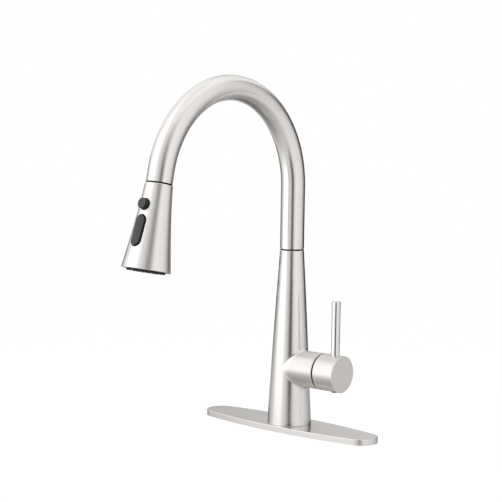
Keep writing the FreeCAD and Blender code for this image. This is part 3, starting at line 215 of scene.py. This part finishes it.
# Hose
HOSE_RADIUS = 0.006
HOSE_SHIFT = 0.0085  # how far the hose moves aside in the body, where that starts, and its bends' radius
HOSE_SHIFT_TOP = 0.152
HOSE_BEND = 0.065
ARCH_RADIUS = 0.11135
HOSE_SIDES = 40
STRAIGHT_STEP = 0.008
FINE_STEP = 0.001
BEND_STEP = math.radians(2.5)
STRETCH_START = 0.034  # part of the hose's last stretch, above the spout's end
STILL_LEAD = 0.004  # the rest of the hose's last stretch, above that part
HELD_END = 0.0035  # the hose's end, inside the ferrule

# Button's spring
SPRING_RADIUS = 0.0033
SPRING_WIRE = 0.00035
SPRING_TURNS = 5
SPRING_STEPS = 24
SPRING_SIDES = 10
SPRING_FLAT = 0.15  # share of the wire in each end's flat coil
SPRING_GAP = 0.00003


# ---------------------------------------------------------------- node helpers


def new_material(name, base, roughness, metallic=0.0):
    """Material, its node tree and its shader, with the plain values set."""
    material = bpy.data.materials.new(name)
    material.use_nodes = True
    tree = material.node_tree
    shader = tree.nodes["Principled BSDF"]
    shader.inputs["Base Color"].default_value = (*base, 1)
    shader.inputs["Roughness"].default_value = roughness
    shader.inputs["Metallic"].default_value = metallic
    return material, tree, shader


def add(tree, kind, **settings):
    """New node of a kind, with its settings."""
    node = tree.nodes.new(kind)
    for key, value in settings.items():
        setattr(node, key, value)
    return node


def math_node(tree, operation, first, second=None):
    """Output of a Math node whose inputs are sockets or plain numbers."""
    node = add(tree, "ShaderNodeMath", operation=operation)
    for slot, value in zip(node.inputs, (first, second)):
        if isinstance(value, bpy.types.NodeSocket):
            tree.links.new(value, slot)
        elif value is not None:
            slot.default_value = value
    return node.outputs[0]


def position(tree, scale=(1, 1, 1)):
    """Place on the piece in metres, stretched by a scale."""
    place = add(tree, "ShaderNodeTexCoord").outputs["Object"]
    mapping = add(tree, "ShaderNodeMapping")
    mapping.inputs["Scale"].default_value = scale
    tree.links.new(place, mapping.inputs["Vector"])
    return mapping.outputs["Vector"]


def noise(tree, vector, scale, detail=2.0):
    node = add(tree, "ShaderNodeTexNoise")
    node.inputs["Scale"].default_value = scale
    node.inputs["Detail"].default_value = detail
    tree.links.new(vector, node.inputs["Vector"])
    return node.outputs["Fac"]


def share_between(tree, value, start, end, low=0.0, high=1.0):
    """Low where the value is below the start, high above the end, and even between."""
    node = add(tree, "ShaderNodeMapRange")
    settings = {"From Min": start, "From Max": end, "To Min": low, "To Max": high}
    for slot, number in settings.items():
        node.inputs[slot].default_value = number
    tree.links.new(value, node.inputs["Value"])
    return node.outputs["Result"]


def strayed(tree, value, middle, swing):
    """Number that strays from the middle to both sides with a noise's value."""
    return share_between(tree, value, NOISE_LOW, NOISE_HIGH, middle - swing, middle + swing)


def tint(tree, value, dark, light):
    """Colour between two, by a 0..1 value."""
    node = add(tree, "ShaderNodeMix", data_type="RGBA")
    node.inputs[6].default_value = (*dark, 1)
    node.inputs[7].default_value = (*light, 1)
    tree.links.new(value, node.inputs["Factor"])
    return node.outputs[2]


def bump(tree, shader, height, strength, distance):
    node = add(tree, "ShaderNodeBump")
    node.inputs["Strength"].default_value = strength
    node.inputs["Distance"].default_value = distance
    tree.links.new(height, node.inputs["Height"])
    tree.links.new(node.outputs["Normal"], shader.inputs["Normal"])


# ---------------------------------------------------------------- finishes


def arch():
    """The spout's line, worked back from its end: the arch's sweep, the straight lead after it, and the
    height where the arch starts."""
    end = Vector(JOINTS["head_swivel"]["pos_m"])
    direction = Vector(JOINTS["head_swivel"]["axis"]).normalized()
    sweep = math.pi - math.atan2(-direction.y, -direction.z)
    lead = (-end.y - ARCH_RADIUS * (1 - math.cos(sweep))) / -direction.y
    start = end.z - direction.z * lead - ARCH_RADIUS * math.sin(sweep)
    return {"end": end, "direction": direction, "sweep": sweep, "lead": lead, "start": start}


# Each brushing function gives the distance along the piece, square to the brush lines, the direction of that
# distance, and a 0..1 share of added roughness, or None.


def straight_brushing(tree, place, axis):
    """Brush lines square to an axis."""
    along = add(tree, "ShaderNodeVectorMath", operation="DOT_PRODUCT")
    along.inputs[1].default_value = axis
    tree.links.new(place, along.inputs[0])
    direction = add(tree, "ShaderNodeCombineXYZ")
    for slot, value in zip(direction.inputs, axis):
        slot.default_value = value
    return along.outputs["Value"], direction.outputs[0], None


def along_line(axis):
    return lambda tree, place: straight_brushing(tree, place, axis)


def spout_brushing(tree, place):
    """Brush lines square to the line of the spout's riser and arch."""
    split = add(tree, "ShaderNodeSeparateXYZ")
    tree.links.new(place, split.inputs[0])
    start = arch()["start"]
    forward = math_node(tree, "ADD", split.outputs["Y"], ARCH_RADIUS)
    past_start = math_node(tree, "SUBTRACT", split.outputs["Z"], start)
    above = math_node(tree, "MAXIMUM", past_start, 0.0)
    turn = math_node(tree, "ARCTAN2", above, forward)
    riser = math_node(tree, "MINIMUM", split.outputs["Z"], start)
    along = math_node(tree, "ADD", riser, math_node(tree, "MULTIPLY", turn, ARCH_RADIUS))
    toward_back = math_node(tree, "MULTIPLY", math_node(tree, "SINE", turn), -1.0)
    direction = add(tree, "ShaderNodeCombineXYZ")
    tree.links.new(toward_back, direction.inputs[1])
    tree.links.new(math_node(tree, "COSINE", turn), direction.inputs[2])
    return along, direction.outputs[0], None


def mixed_brushing(tree, place, first, second, share):
    """Distance and direction of a brushing that goes over from one axis to another by a 0..1 share."""
    starts = straight_brushing(tree, place, first)[:2]
    ends = straight_brushing(tree, place, second)[:2]
    mixed = []
    for one, other in zip(starts, ends):
        node = add(tree, "ShaderNodeMix", data_type="VECTOR")
        tree.links.new(share, node.inputs["Factor"])
        tree.links.new(one, node.inputs[4])
        tree.links.new(other, node.inputs[5])
        mixed.append(node.outputs[1])
    along = add(tree, "ShaderNodeSeparateXYZ")
    tree.links.new(mixed[0], along.inputs[0])
    return along.outputs["X"], mixed[1]


def body_brushing(tree, place):
    """Brushing square to the column's axis, and on the boss square to the boss's axis."""
    split = add(tree, "ShaderNodeSeparateXYZ")
    tree.links.new(place, split.inputs[0])
    squares = [math_node(tree, "POWER", split.outputs[axis], 2.0) for axis in "XY"]
    from_axis = math_node(tree, "SQRT", math_node(tree, "ADD", *squares))
    taper = math_node(tree, "MULTIPLY", split.outputs["Z"], BODY_TAPER)
    outside = math_node(tree, "SUBTRACT", math_node(tree, "ADD", from_axis, taper), BODY_FOOT)
    on_boss = share_between(tree, outside, BOSS_FROM, BOSS_FULL)
    return (*mixed_brushing(tree, place, UP, ALONG_BOSS, on_boss), on_boss)


def plate_brushing(tree, place):
    """Brushing along the plate's top, and round its upright edge."""
    split = add(tree, "ShaderNodeSeparateXYZ")
    tree.links.new(place, split.inputs[0])
    on_top = math_node(tree, "GREATER_THAN", split.outputs["Z"], PLATE_SHOULDER)
    return (*mixed_brushing(tree, place, NEARLY_UP, ACROSS_PLATE, on_top), None)


def brushed_nickel(name, brushing, roughness=0.25, anisotropy=0.8):
    """Satin nickel: fine brush lines that blur reflections along the piece and keep them sharp across."""
    material, tree, shader = new_material(name, NICKEL, roughness, metallic=1.0)
    place = position(tree)
    along, direction, softening = brushing(tree, place)
    stretch = add(tree, "ShaderNodeCombineXYZ")
    tree.links.new(math_node(tree, "MULTIPLY", along, BRUSH_LINES), stretch.inputs[2])
    streak = add(tree, "ShaderNodeVectorMath", operation="ADD")
    tree.links.new(position(tree, [BRUSH_RUN] * 3), streak.inputs[0])
    tree.links.new(stretch.outputs[0], streak.inputs[1])
    lines = noise(tree, streak.outputs[0], 1.0, BRUSH_DETAIL)
    cloud = noise(tree, place, TINT_CLOUDS)
    mixed = math_node(tree, "MULTIPLY", math_node(tree, "ADD", lines, cloud), 0.5)
    tree.links.new(tint(tree, mixed, NICKEL_DARK, NICKEL), shader.inputs["Base Color"])
    rough = strayed(tree, lines, roughness, BRUSH_SWING)
    if softening:
        rough = math_node(tree, "ADD", rough, math_node(tree, "MULTIPLY", softening, BOSS_ROUGHER))
    shader.inputs["Anisotropic"].default_value = anisotropy
    tree.links.new(rough, shader.inputs["Roughness"])
    turned = add(tree, "ShaderNodeVectorTransform", vector_type="VECTOR")
    turned.convert_from, turned.convert_to = "OBJECT", "WORLD"
    tree.links.new(direction, turned.inputs[0])
    tree.links.new(turned.outputs[0], shader.inputs["Tangent"])
    bump(tree, shader, lines, BRUSH_BUMP, FINE_DEPTH)
    return material


def moulded(name, base, roughness, texture=PITS, strength=PIT_BUMP, shine=0.5):
    """Plastic with the fine spark-eroded texture of its mould."""
    material, tree, shader = new_material(name, base, roughness)
    shader.inputs["Specular IOR Level"].default_value = shine
    pits = noise(tree, position(tree), texture, detail=1.0)
    cloud = noise(tree, position(tree), MOULD_CLOUDS)
    lighter = [min(1.0, channel * MOULD_LIGHTER + MOULD_LIFT) for channel in base]
    tree.links.new(tint(tree, cloud, base, lighter), shader.inputs["Base Color"])
    tree.links.new(strayed(tree, cloud, roughness, MOULD_SWING), shader.inputs["Roughness"])
    bump(tree, shader, pits, strength, FINE_DEPTH)
    return material


def button_plastic():
    """Dark grey matt plastic on the controls' faces; their sides are coloured near-black as painted shade.
    """
    material, tree, shader = new_material("button_plastic", BUTTON_FACE, 0.5)
    outward = add(tree, "ShaderNodeVectorMath", operation="DOT_PRODUCT")
    outward.inputs[1].default_value = -Vector(JOINTS["pause_press"]["axis"]).normalized()
    tree.links.new(add(tree, "ShaderNodeTexCoord").outputs["Normal"], outward.inputs[0])
    # where the surface turns away from the button's axis, the colour goes to the sides' painted shade
    unshaded_face = share_between(tree, outward.outputs["Value"], FACE_FROM, FACE_FULL)
    tree.links.new(tint(tree, unshaded_face, BUTTON_SIDE_SHADE, BUTTON_FACE), shader.inputs["Base Color"])
    shader.inputs["Specular IOR Level"].default_value = BUTTON_SHINE
    bump(tree, shader, noise(tree, position(tree), PITS, detail=1.0), PIT_BUMP, FINE_DEPTH)
    return material


def machined(name, light, dark, roughness):
    """Turned metal with rings along the body's axis."""
    material, tree, shader = new_material(name, light, roughness, metallic=1.0)
    rings = noise(tree, position(tree, RINGS), 1.0)
    tree.links.new(tint(tree, rings, dark, light), shader.inputs["Base Color"])
    tree.links.new(strayed(tree, rings, roughness, RING_SWING), shader.inputs["Roughness"])
    bump(tree, shader, rings, RING_BUMP, RING_DEPTH)
    return material


def woven_sleeve(name="woven_hose", origin=(0, 0, 0), axis=UP):
    """Nylon sleeve: two sets of strands that cross on the slant round the hose's line."""
    material, tree, shader = new_material(name, SLEEVE_DARK, SLEEVE_ROUGHNESS)
    level = add(tree, "ShaderNodeMapping", vector_type="TEXTURE")
    level.inputs["Location"].default_value = origin
    level.inputs["Rotation"].default_value = UP.rotation_difference(axis).to_euler()
    tree.links.new(add(tree, "ShaderNodeTexCoord").outputs["Object"], level.inputs["Vector"])
    place = add(tree, "ShaderNodeSeparateXYZ")
    tree.links.new(level.outputs["Vector"], place.inputs[0])
    turn = math_node(tree, "ARCTAN2", place.outputs["Y"], place.outputs["X"])
    heights = []
    for sense in (-1, 1):
        along = math_node(tree, "MULTIPLY", place.outputs["Z"], sense * STRAND_SLANT)
        phase = math_node(tree, "ADD", math_node(tree, "MULTIPLY", turn, STRANDS), along)
        heights.append(math_node(tree, "SINE", phase))
    weave = math_node(tree, "MAXIMUM", *heights)
    height = math_node(tree, "MULTIPLY", math_node(tree, "ADD", weave, 1.0), 0.5)
    # colour by the weave's height: painted shade in the grooves between the strands, the lighter colour on
    # their crests
    tree.links.new(tint(tree, height, SLEEVE_DARK, SLEEVE_LIGHT), shader.inputs["Base Color"])
    bump(tree, shader, height, WEAVE_BUMP, WEAVE_DEPTH)
    return material


def finishes():
    """One material for each of the record's slots."""
    return {
        "brushed_nickel": brushed_nickel("brushed_nickel", along_line(UP)),
        "black_plastic": moulded("black_plastic", (0.006, 0.006, 0.006), 0.4, shine=0.15),
        "button_plastic": button_plastic(),
        "grey_plastic": moulded("grey_plastic", (0.33, 0.33, 0.34), 0.42),
        "white_nylon": moulded("white_nylon", (0.8, 0.79, 0.76), 0.4),
        "black_rubber": moulded("black_rubber", (0.02, 0.02, 0.021), 0.6, texture=900.0, strength=0.25),
        "brass": machined("brass", (0.83, 0.62, 0.3), (0.7, 0.5, 0.22), 0.3),
        "ceramic": moulded("ceramic", (0.9, 0.89, 0.87), 0.15, texture=400.0, strength=0.04),
        "plain_steel": machined("plain_steel", (0.68, 0.67, 0.66), (0.56, 0.55, 0.54), 0.3),
        "woven_hose": woven_sleeve(),
    }


def finish_nodes():
    """Give every CAD node its own material or that of its slot, and return the materials by slot."""
    made = finishes()
    slots = {part["node"]: part["material_slot"] for part in frame["record"]["subparts"]}
    head_axis = Vector(JOINTS["head_swivel"]["axis"]).normalized()
    # Brushing and, where they aren't the usual ones, roughness and anisotropy
    brushed = {
        "body_column": (body_brushing,),
        "spout_tube": (spout_brushing,),
        "spray_head_shell": (along_line(head_axis), 0.32, 0.75),
        "deck_plate": (plate_brushing,),
        "handle_cap": (along_line(ALONG_BOSS), 0.4, 0.6),
        "lever_rod": (along_line(ALONG_LEVER), 0.14, 0.5),
    }
    own = {name: brushed_nickel("brushed_" + name, *settings) for name, settings in brushed.items()}
    own["set_screw_plug"] = moulded("matt_black_plug", PLUG_BLACK, 0.85, shine=0.0)
    for name, node in NODES.items():
        node.data.materials.clear()
        node.data.materials.append(own.get(name) or made[slots[name]])
    return made


# ---------------------------------------------------------------- meshes


def mesh_object(name, mesh, material):
    """Object with a bmesh's shape, linked to the scene; the bmesh is freed."""
    data = bpy.data.meshes.new(name)
    mesh.to_mesh(data)
    mesh.free()
    data.materials.append(material)
    thing = bpy.data.objects.new(name, data)
    bpy.context.scene.collection.objects.link(thing)
    return thing


def tube_object(name, route, radius, material, side=RIGHT, sides=HOSE_SIDES):
    """Tube of even rings square to a route, closed at both ends; side is never along the route."""
    mesh = bmesh.new()
    turns = [2 * math.pi * k / sides for k in range(sides)]
    rings = []
    for i, point in enumerate(route):
        ahead = route[min(i + 1, len(route) - 1)] - route[max(i - 1, 0)]
        ahead.normalize()
        across = (side - ahead * side.dot(ahead)).normalized()
        third = ahead.cross(across)
        spokes = [(across * math.cos(t) + third * math.sin(t)) * radius for t in turns]
        rings.append([mesh.verts.new(point + spoke) for spoke in spokes])
    for low, high in zip(rings, rings[1:]):
        for k in range(sides):
            after = (k + 1) % sides
            mesh.faces.new((low[k], low[after], high[after], high[k]))
    mesh.faces.new(reversed(rings[0]))
    mesh.faces.new(rings[-1])
    piece = mesh_object(name, mesh, material)
    for face in piece.data.polygons:
        face.use_smooth = len(face.vertices) == 4
    return piece


# ---------------------------------------------------------------- hose


def steps(length, step):
    """Even distances from 0 to a length, no further apart than a step."""
    count = max(2, math.ceil(length / step))
    return [length * i / count for i in range(count + 1)]


def hose_in_spout(material):
    """The hose up the riser and round the arch, and its last stretch, made as a piece of its own."""
    shape = arch()
    spout_end, direction, sweep, lead = (shape[key] for key in ("end", "direction", "sweep", "lead"))
    arch_start = shape["start"]

    def point(s):
        """Place on the hose's line, by distance past the arch's start."""
        turn = min(s / ARCH_RADIUS, sweep)
        past = max(0, s - ARCH_RADIUS * sweep)
        out = ARCH_RADIUS * (1 - math.cos(turn))
        rise = ARCH_RADIUS * math.sin(turn)
        return Vector((0, -out, arch_start + rise)) + direction * past

    length = ARCH_RADIUS * sweep + lead
    joint = length - STRETCH_START - STILL_LEAD
    riser = steps(arch_start - HOSE_SHIFT_TOP, STRAIGHT_STEP)
    route = [Vector((0, 0, HOSE_SHIFT_TOP + s)) for s in riser]
    route += [point(s) for s in steps(joint, STRAIGHT_STEP)[1:]]
    fixed = tube_object("pull_down_hose_arch", route, HOSE_RADIUS, material)
    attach(fixed, "spout")
    route = [point(joint + s) for s in steps(length - HELD_END - joint, FINE_STEP)]
    sleeve = woven_sleeve("woven_hose_end", spout_end, direction)
    pulled = tube_object("pull_down_hose_end", route, HOSE_RADIUS, sleeve)
    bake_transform(pulled)
    return fixed, pulled


def hose_in_body():
    """The hose below the swivel, which moves aside to its coupling and stays in the body."""
    turn = math.acos(1 - HOSE_SHIFT / (2 * HOSE_BEND))
    rise = HOSE_BEND * math.sin(turn)
    route = []
    for angle in steps(turn, BEND_STEP):
        drop = HOSE_BEND * math.sin(angle)
        route.append(Vector((-HOSE_BEND * (1 - math.cos(angle)), 0, HOSE_SHIFT_TOP - drop)))
    for angle in reversed(steps(turn, BEND_STEP)[:-1]):
        drop = 2 * rise - HOSE_BEND * math.sin(angle)
        side = -HOSE_SHIFT + HOSE_BEND * (1 - math.cos(angle))
        route.append(Vector((side, 0, HOSE_SHIFT_TOP - drop)))
    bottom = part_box("pull_down_hose")[0].z
    last = route[-1].copy()
    route += [last - UP * s for s in steps(last.z - bottom, STRAIGHT_STEP)[1:]]
    sleeve = woven_sleeve("woven_hose_low", (-HOSE_SHIFT, 0, 0))
    lower = tube_object("pull_down_hose_lower", route, HOSE_RADIUS, sleeve)
    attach(lower, "body")
    return lower


def hose(material):
    for piece in (*hose_in_spout(material), hose_in_body()):
        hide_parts("pull_down_hose")


# ---------------------------------------------------------------- button's spring


def button_spring(material):
    """Coil spring that is pressed together between the pocket's floor and the button."""
    axis = Vector(JOINTS["pause_press"]["axis"]).normalized()
    corners = [vertex.co for vertex in NODES["button_spring"].data.vertices]
    middle = sum(corners, Vector()) / len(corners)
    reach = [(corner - middle).dot(axis) for corner in corners]
    floor_end = middle + axis * max(reach)
    length = max(reach) - min(reach)
    third = axis.cross(RIGHT)
    seat = SPRING_WIRE + SPRING_GAP
    count = SPRING_TURNS * SPRING_STEPS
    route = []
    for i in range(count + 1):
        turn = 2 * math.pi * i / SPRING_STEPS
        share = min(1, max(0, (i / count - SPRING_FLAT) / (1 - 2 * SPRING_FLAT)))
        rise = seat + (length - 2 * seat) * share
        across = RIGHT * math.cos(turn) + third * math.sin(turn)
        route.append(floor_end - axis * rise + across * SPRING_RADIUS)
    coil = tube_object("button_spring_coil", route, SPRING_WIRE, material, axis, SPRING_SIDES)
    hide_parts("button_spring")
    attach(coil, "spray_head")
    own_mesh(coil)


# ---------------------------------------------------------------- studio


def white_for_viewer(tree, glow, shading):
    """Shader that is white to camera, mirror and glass rays, and shading to every other ray."""
    path = add(tree, "ShaderNodeLightPath")
    seen = math_node(tree, "MAXIMUM", path.outputs["Is Camera Ray"], path.outputs["Is Glossy Ray"])
    seen = math_node(tree, "MAXIMUM", seen, path.outputs["Is Transmission Ray"])
    mix = add(tree, "ShaderNodeMixShader")
    tree.links.new(seen, mix.inputs[0])
    tree.links.new(shading, mix.inputs[1])
    tree.links.new(glow, mix.inputs[2])
    return mix.outputs[0]


def world():
    """White to the viewer, and a weaker even fill to all else."""
    scene_world = bpy.data.worlds.new("studio")
    bpy.context.scene.world = scene_world
    scene_world.use_nodes = True
    tree = scene_world.node_tree
    tree.nodes.clear()
    glow = add(tree, "ShaderNodeBackground")
    glow.inputs["Color"].default_value = (1, 1, 1, 1)
    glow.inputs["Strength"].default_value = 1.0
    fill = add(tree, "ShaderNodeBackground")
    fill.inputs["Color"].default_value = (1, 1, 1, 1)
    fill.inputs["Strength"].default_value = FILL
    output = add(tree, "ShaderNodeOutputWorld")
    tree.links.new(white_for_viewer(tree, glow.outputs[0], fill.outputs[0]), output.inputs["Surface"])


def empty_material(name):
    """Material without any node yet, and its tree."""
    material = bpy.data.materials.new(name)
    material.use_nodes = True
    material.node_tree.nodes.clear()
    return material, material.node_tree


def floor_material():
    """Pale floor that reads as white and keeps a faint shadow."""
    material, tree = empty_material("pale_floor")
    paint = add(tree, "ShaderNodeBsdfDiffuse")
    paint.inputs["Color"].default_value = (*[FLOOR_PAINT] * 3, 1)
    thin = add(tree, "ShaderNodeBsdfDiffuse")
    thin.inputs["Color"].default_value = (*[FLOOR_THIN_PAINT] * 3, 1)
    glow = add(tree, "ShaderNodeEmission")
    glow.inputs["Strength"].default_value = FLOOR_GLOW
    both = add(tree, "ShaderNodeAddShader")
    tree.links.new(thin.outputs[0], both.inputs[0])
    tree.links.new(glow.outputs[0], both.inputs[1])
    output = add(tree, "ShaderNodeOutputMaterial")
    tree.links.new(white_for_viewer(tree, both.outputs[0], paint.outputs[0]), output.inputs["Surface"])
    return material


def staged_box(name, low, high, material):
    mesh = bmesh.new()
    bmesh.ops.create_cube(mesh, size=1)
    size = Vector(high) - Vector(low)
    centre = (Vector(high) + Vector(low)) / 2
    matrix = Matrix.Translation(centre) @ Matrix.Diagonal((*size, 1))
    bmesh.ops.transform(mesh, matrix=matrix, verts=mesh.verts)
    box = mesh_object(name, mesh, material)
    return box


def floor():
    """The pale floor, and a block under the plate in the place of the sink deck."""
    material = floor_material()
    half = FLOOR_SIZE / 2
    staged_box("floor", (-half, -half, -FLOOR_DROP - FLOOR_THICKNESS), (half, half, -FLOOR_DROP), material)
    deck_low = (-DECK_HALF_LENGTH, -DECK_HALF_WIDTH, -FLOOR_DROP)
    deck_high = (DECK_HALF_LENGTH, DECK_HALF_WIDTH, -DECK_GAP)
    deck = staged_box("sink_deck", deck_low, deck_high, material)
    deck.visible_glossy = False


def toward(angle):
    """Level direction from the faucet, as an angle to the right of the camera, in degrees."""
    azimuth = CAMERA_AZIMUTH + math.radians(angle)
    return Vector((math.sin(azimuth), -math.cos(azimuth), 0))


def glossy_only(name, mesh, brightness):
    """Studio surface that only reflections see, with a brightness for each of the mesh's corners."""
    material, tree = empty_material(name)
    stored = add(tree, "ShaderNodeAttribute", attribute_name="brightness")
    glow = add(tree, "ShaderNodeEmission")
    tree.links.new(stored.outputs["Fac"], glow.inputs["Strength"])
    output = add(tree, "ShaderNodeOutputMaterial")
    tree.links.new(glow.outputs[0], output.inputs["Surface"])
    board = mesh_object(name, mesh, material)
    board.data.attributes.new("brightness", "FLOAT", "POINT").data.foreach_set("value", brightness)
    board.visible_camera = board.visible_diffuse = board.visible_shadow = False
    board.visible_transmission = False


def wall(name, stations, distance):
    """Curved wall in narrow upright strips, whose brightness runs on evenly from place to place."""
    mesh = bmesh.new()
    columns = []
    for first, last in zip(stations, stations[1:]):
        count = math.ceil((last[0] - first[0]) / STRIP_ANGLE)
        columns += [[a + (b - a) * i / count for a, b in zip(first, last)] for i in range(count)]
    columns.append(stations[-1])
    edges = []
    brightness = []
    for angle, level, top, top_level in columns:
        at = toward(angle) * distance
        edges.append([mesh.verts.new(at + UP * height) for height in (WALL_BOTTOM, WALL_KNEE, top)])
        brightness += [level * WALL_FOOT_SHARE, level, top_level]
    for left, right in zip(edges, edges[1:]):
        for k in range(2):
            mesh.faces.new((left[k], right[k], right[k + 1], left[k + 1]))
    glossy_only(name, mesh, brightness)


def disc(name, centre, height, rings):
    """Level round board whose brightness runs evenly from ring to ring."""
    mesh = bmesh.new()
    turns = [2 * math.pi * k / DISC_SIDES for k in range(DISC_SIDES)]
    middle = Vector((*centre, height))
    rows = []
    for radius, _ in rings:
        spokes = [Vector((math.cos(t), math.sin(t), 0)) * radius for t in turns]
        rows.append([mesh.verts.new(middle + spoke) for spoke in spokes])
    for inner, outer in zip(rows, rows[1:]):
        for k in range(DISC_SIDES):
            after = (k + 1) % DISC_SIDES
            mesh.faces.new((inner[k], outer[k], outer[after], inner[after]))
    glossy_only(name, mesh, [level for _, level in rings for _ in turns])


def soft_light(name, angle, elevation, distance, size, power):
    """Square lamp pointed at the faucet, which reflections don't see."""
    light = bpy.data.lights.new(name, "AREA")
    light.shape = "SQUARE"
    light.size = size
    light.energy = power
    lamp = bpy.data.objects.new(name, light)
    rise = math.radians(elevation)
    outward = (toward(angle) * math.cos(rise) + UP * math.sin(rise)).normalized()
    turn = outward.to_track_quat("Z", "Y").to_matrix().to_4x4()
    lamp.matrix_world = Matrix.Translation(outward * distance + UP * LAMP_AIM) @ turn
    lamp.visible_glossy = False
    bpy.context.scene.collection.objects.link(lamp)


def studio():
    world()
    floor()
    wall("cyclorama", CYCLORAMA, CYCLORAMA_DISTANCE)
    wall("flag", FLAG, FLAG_DISTANCE)
    disc("overhead", *OVERHEAD)
    disc("mat_under", *MAT)
    for name, settings in LAMPS.items():
        soft_light(name, *settings)


def camera():
    """Camera at the photograph's viewing angle, with its slight roll."""
    flat_right = Vector((math.cos(CAMERA_AZIMUTH), math.sin(CAMERA_AZIMUTH), 0))
    back = toward(0) * math.cos(CAMERA_ELEVATION) + UP * math.sin(CAMERA_ELEVATION)
    upward = back.cross(flat_right)
    right = flat_right * math.cos(CAMERA_ROLL) + upward * math.sin(CAMERA_ROLL)
    turned_up = upward * math.cos(CAMERA_ROLL) - flat_right * math.sin(CAMERA_ROLL)
    data = bpy.data.cameras.new("camera")
    data.sensor_width = SENSOR_WIDTH
    data.lens = CAMERA_LENS
    data.clip_start, data.clip_end = CLIP
    eye = bpy.data.objects.new("camera", data)
    turn = Matrix((right, turned_up, back)).transposed().to_4x4()
    target = flat_right * AIM_RIGHT + UP * AIM_HEIGHT
    eye.matrix_world = Matrix.Translation(target + back * CAMERA_DISTANCE) @ turn
    bpy.context.scene.collection.objects.link(eye)
    bpy.context.scene.camera = eye


made = finish_nodes()
hose(made["woven_hose"])
button_spring(made["plain_steel"])
studio()
camera()
bpy.context.scene.view_settings.view_transform = "Standard"
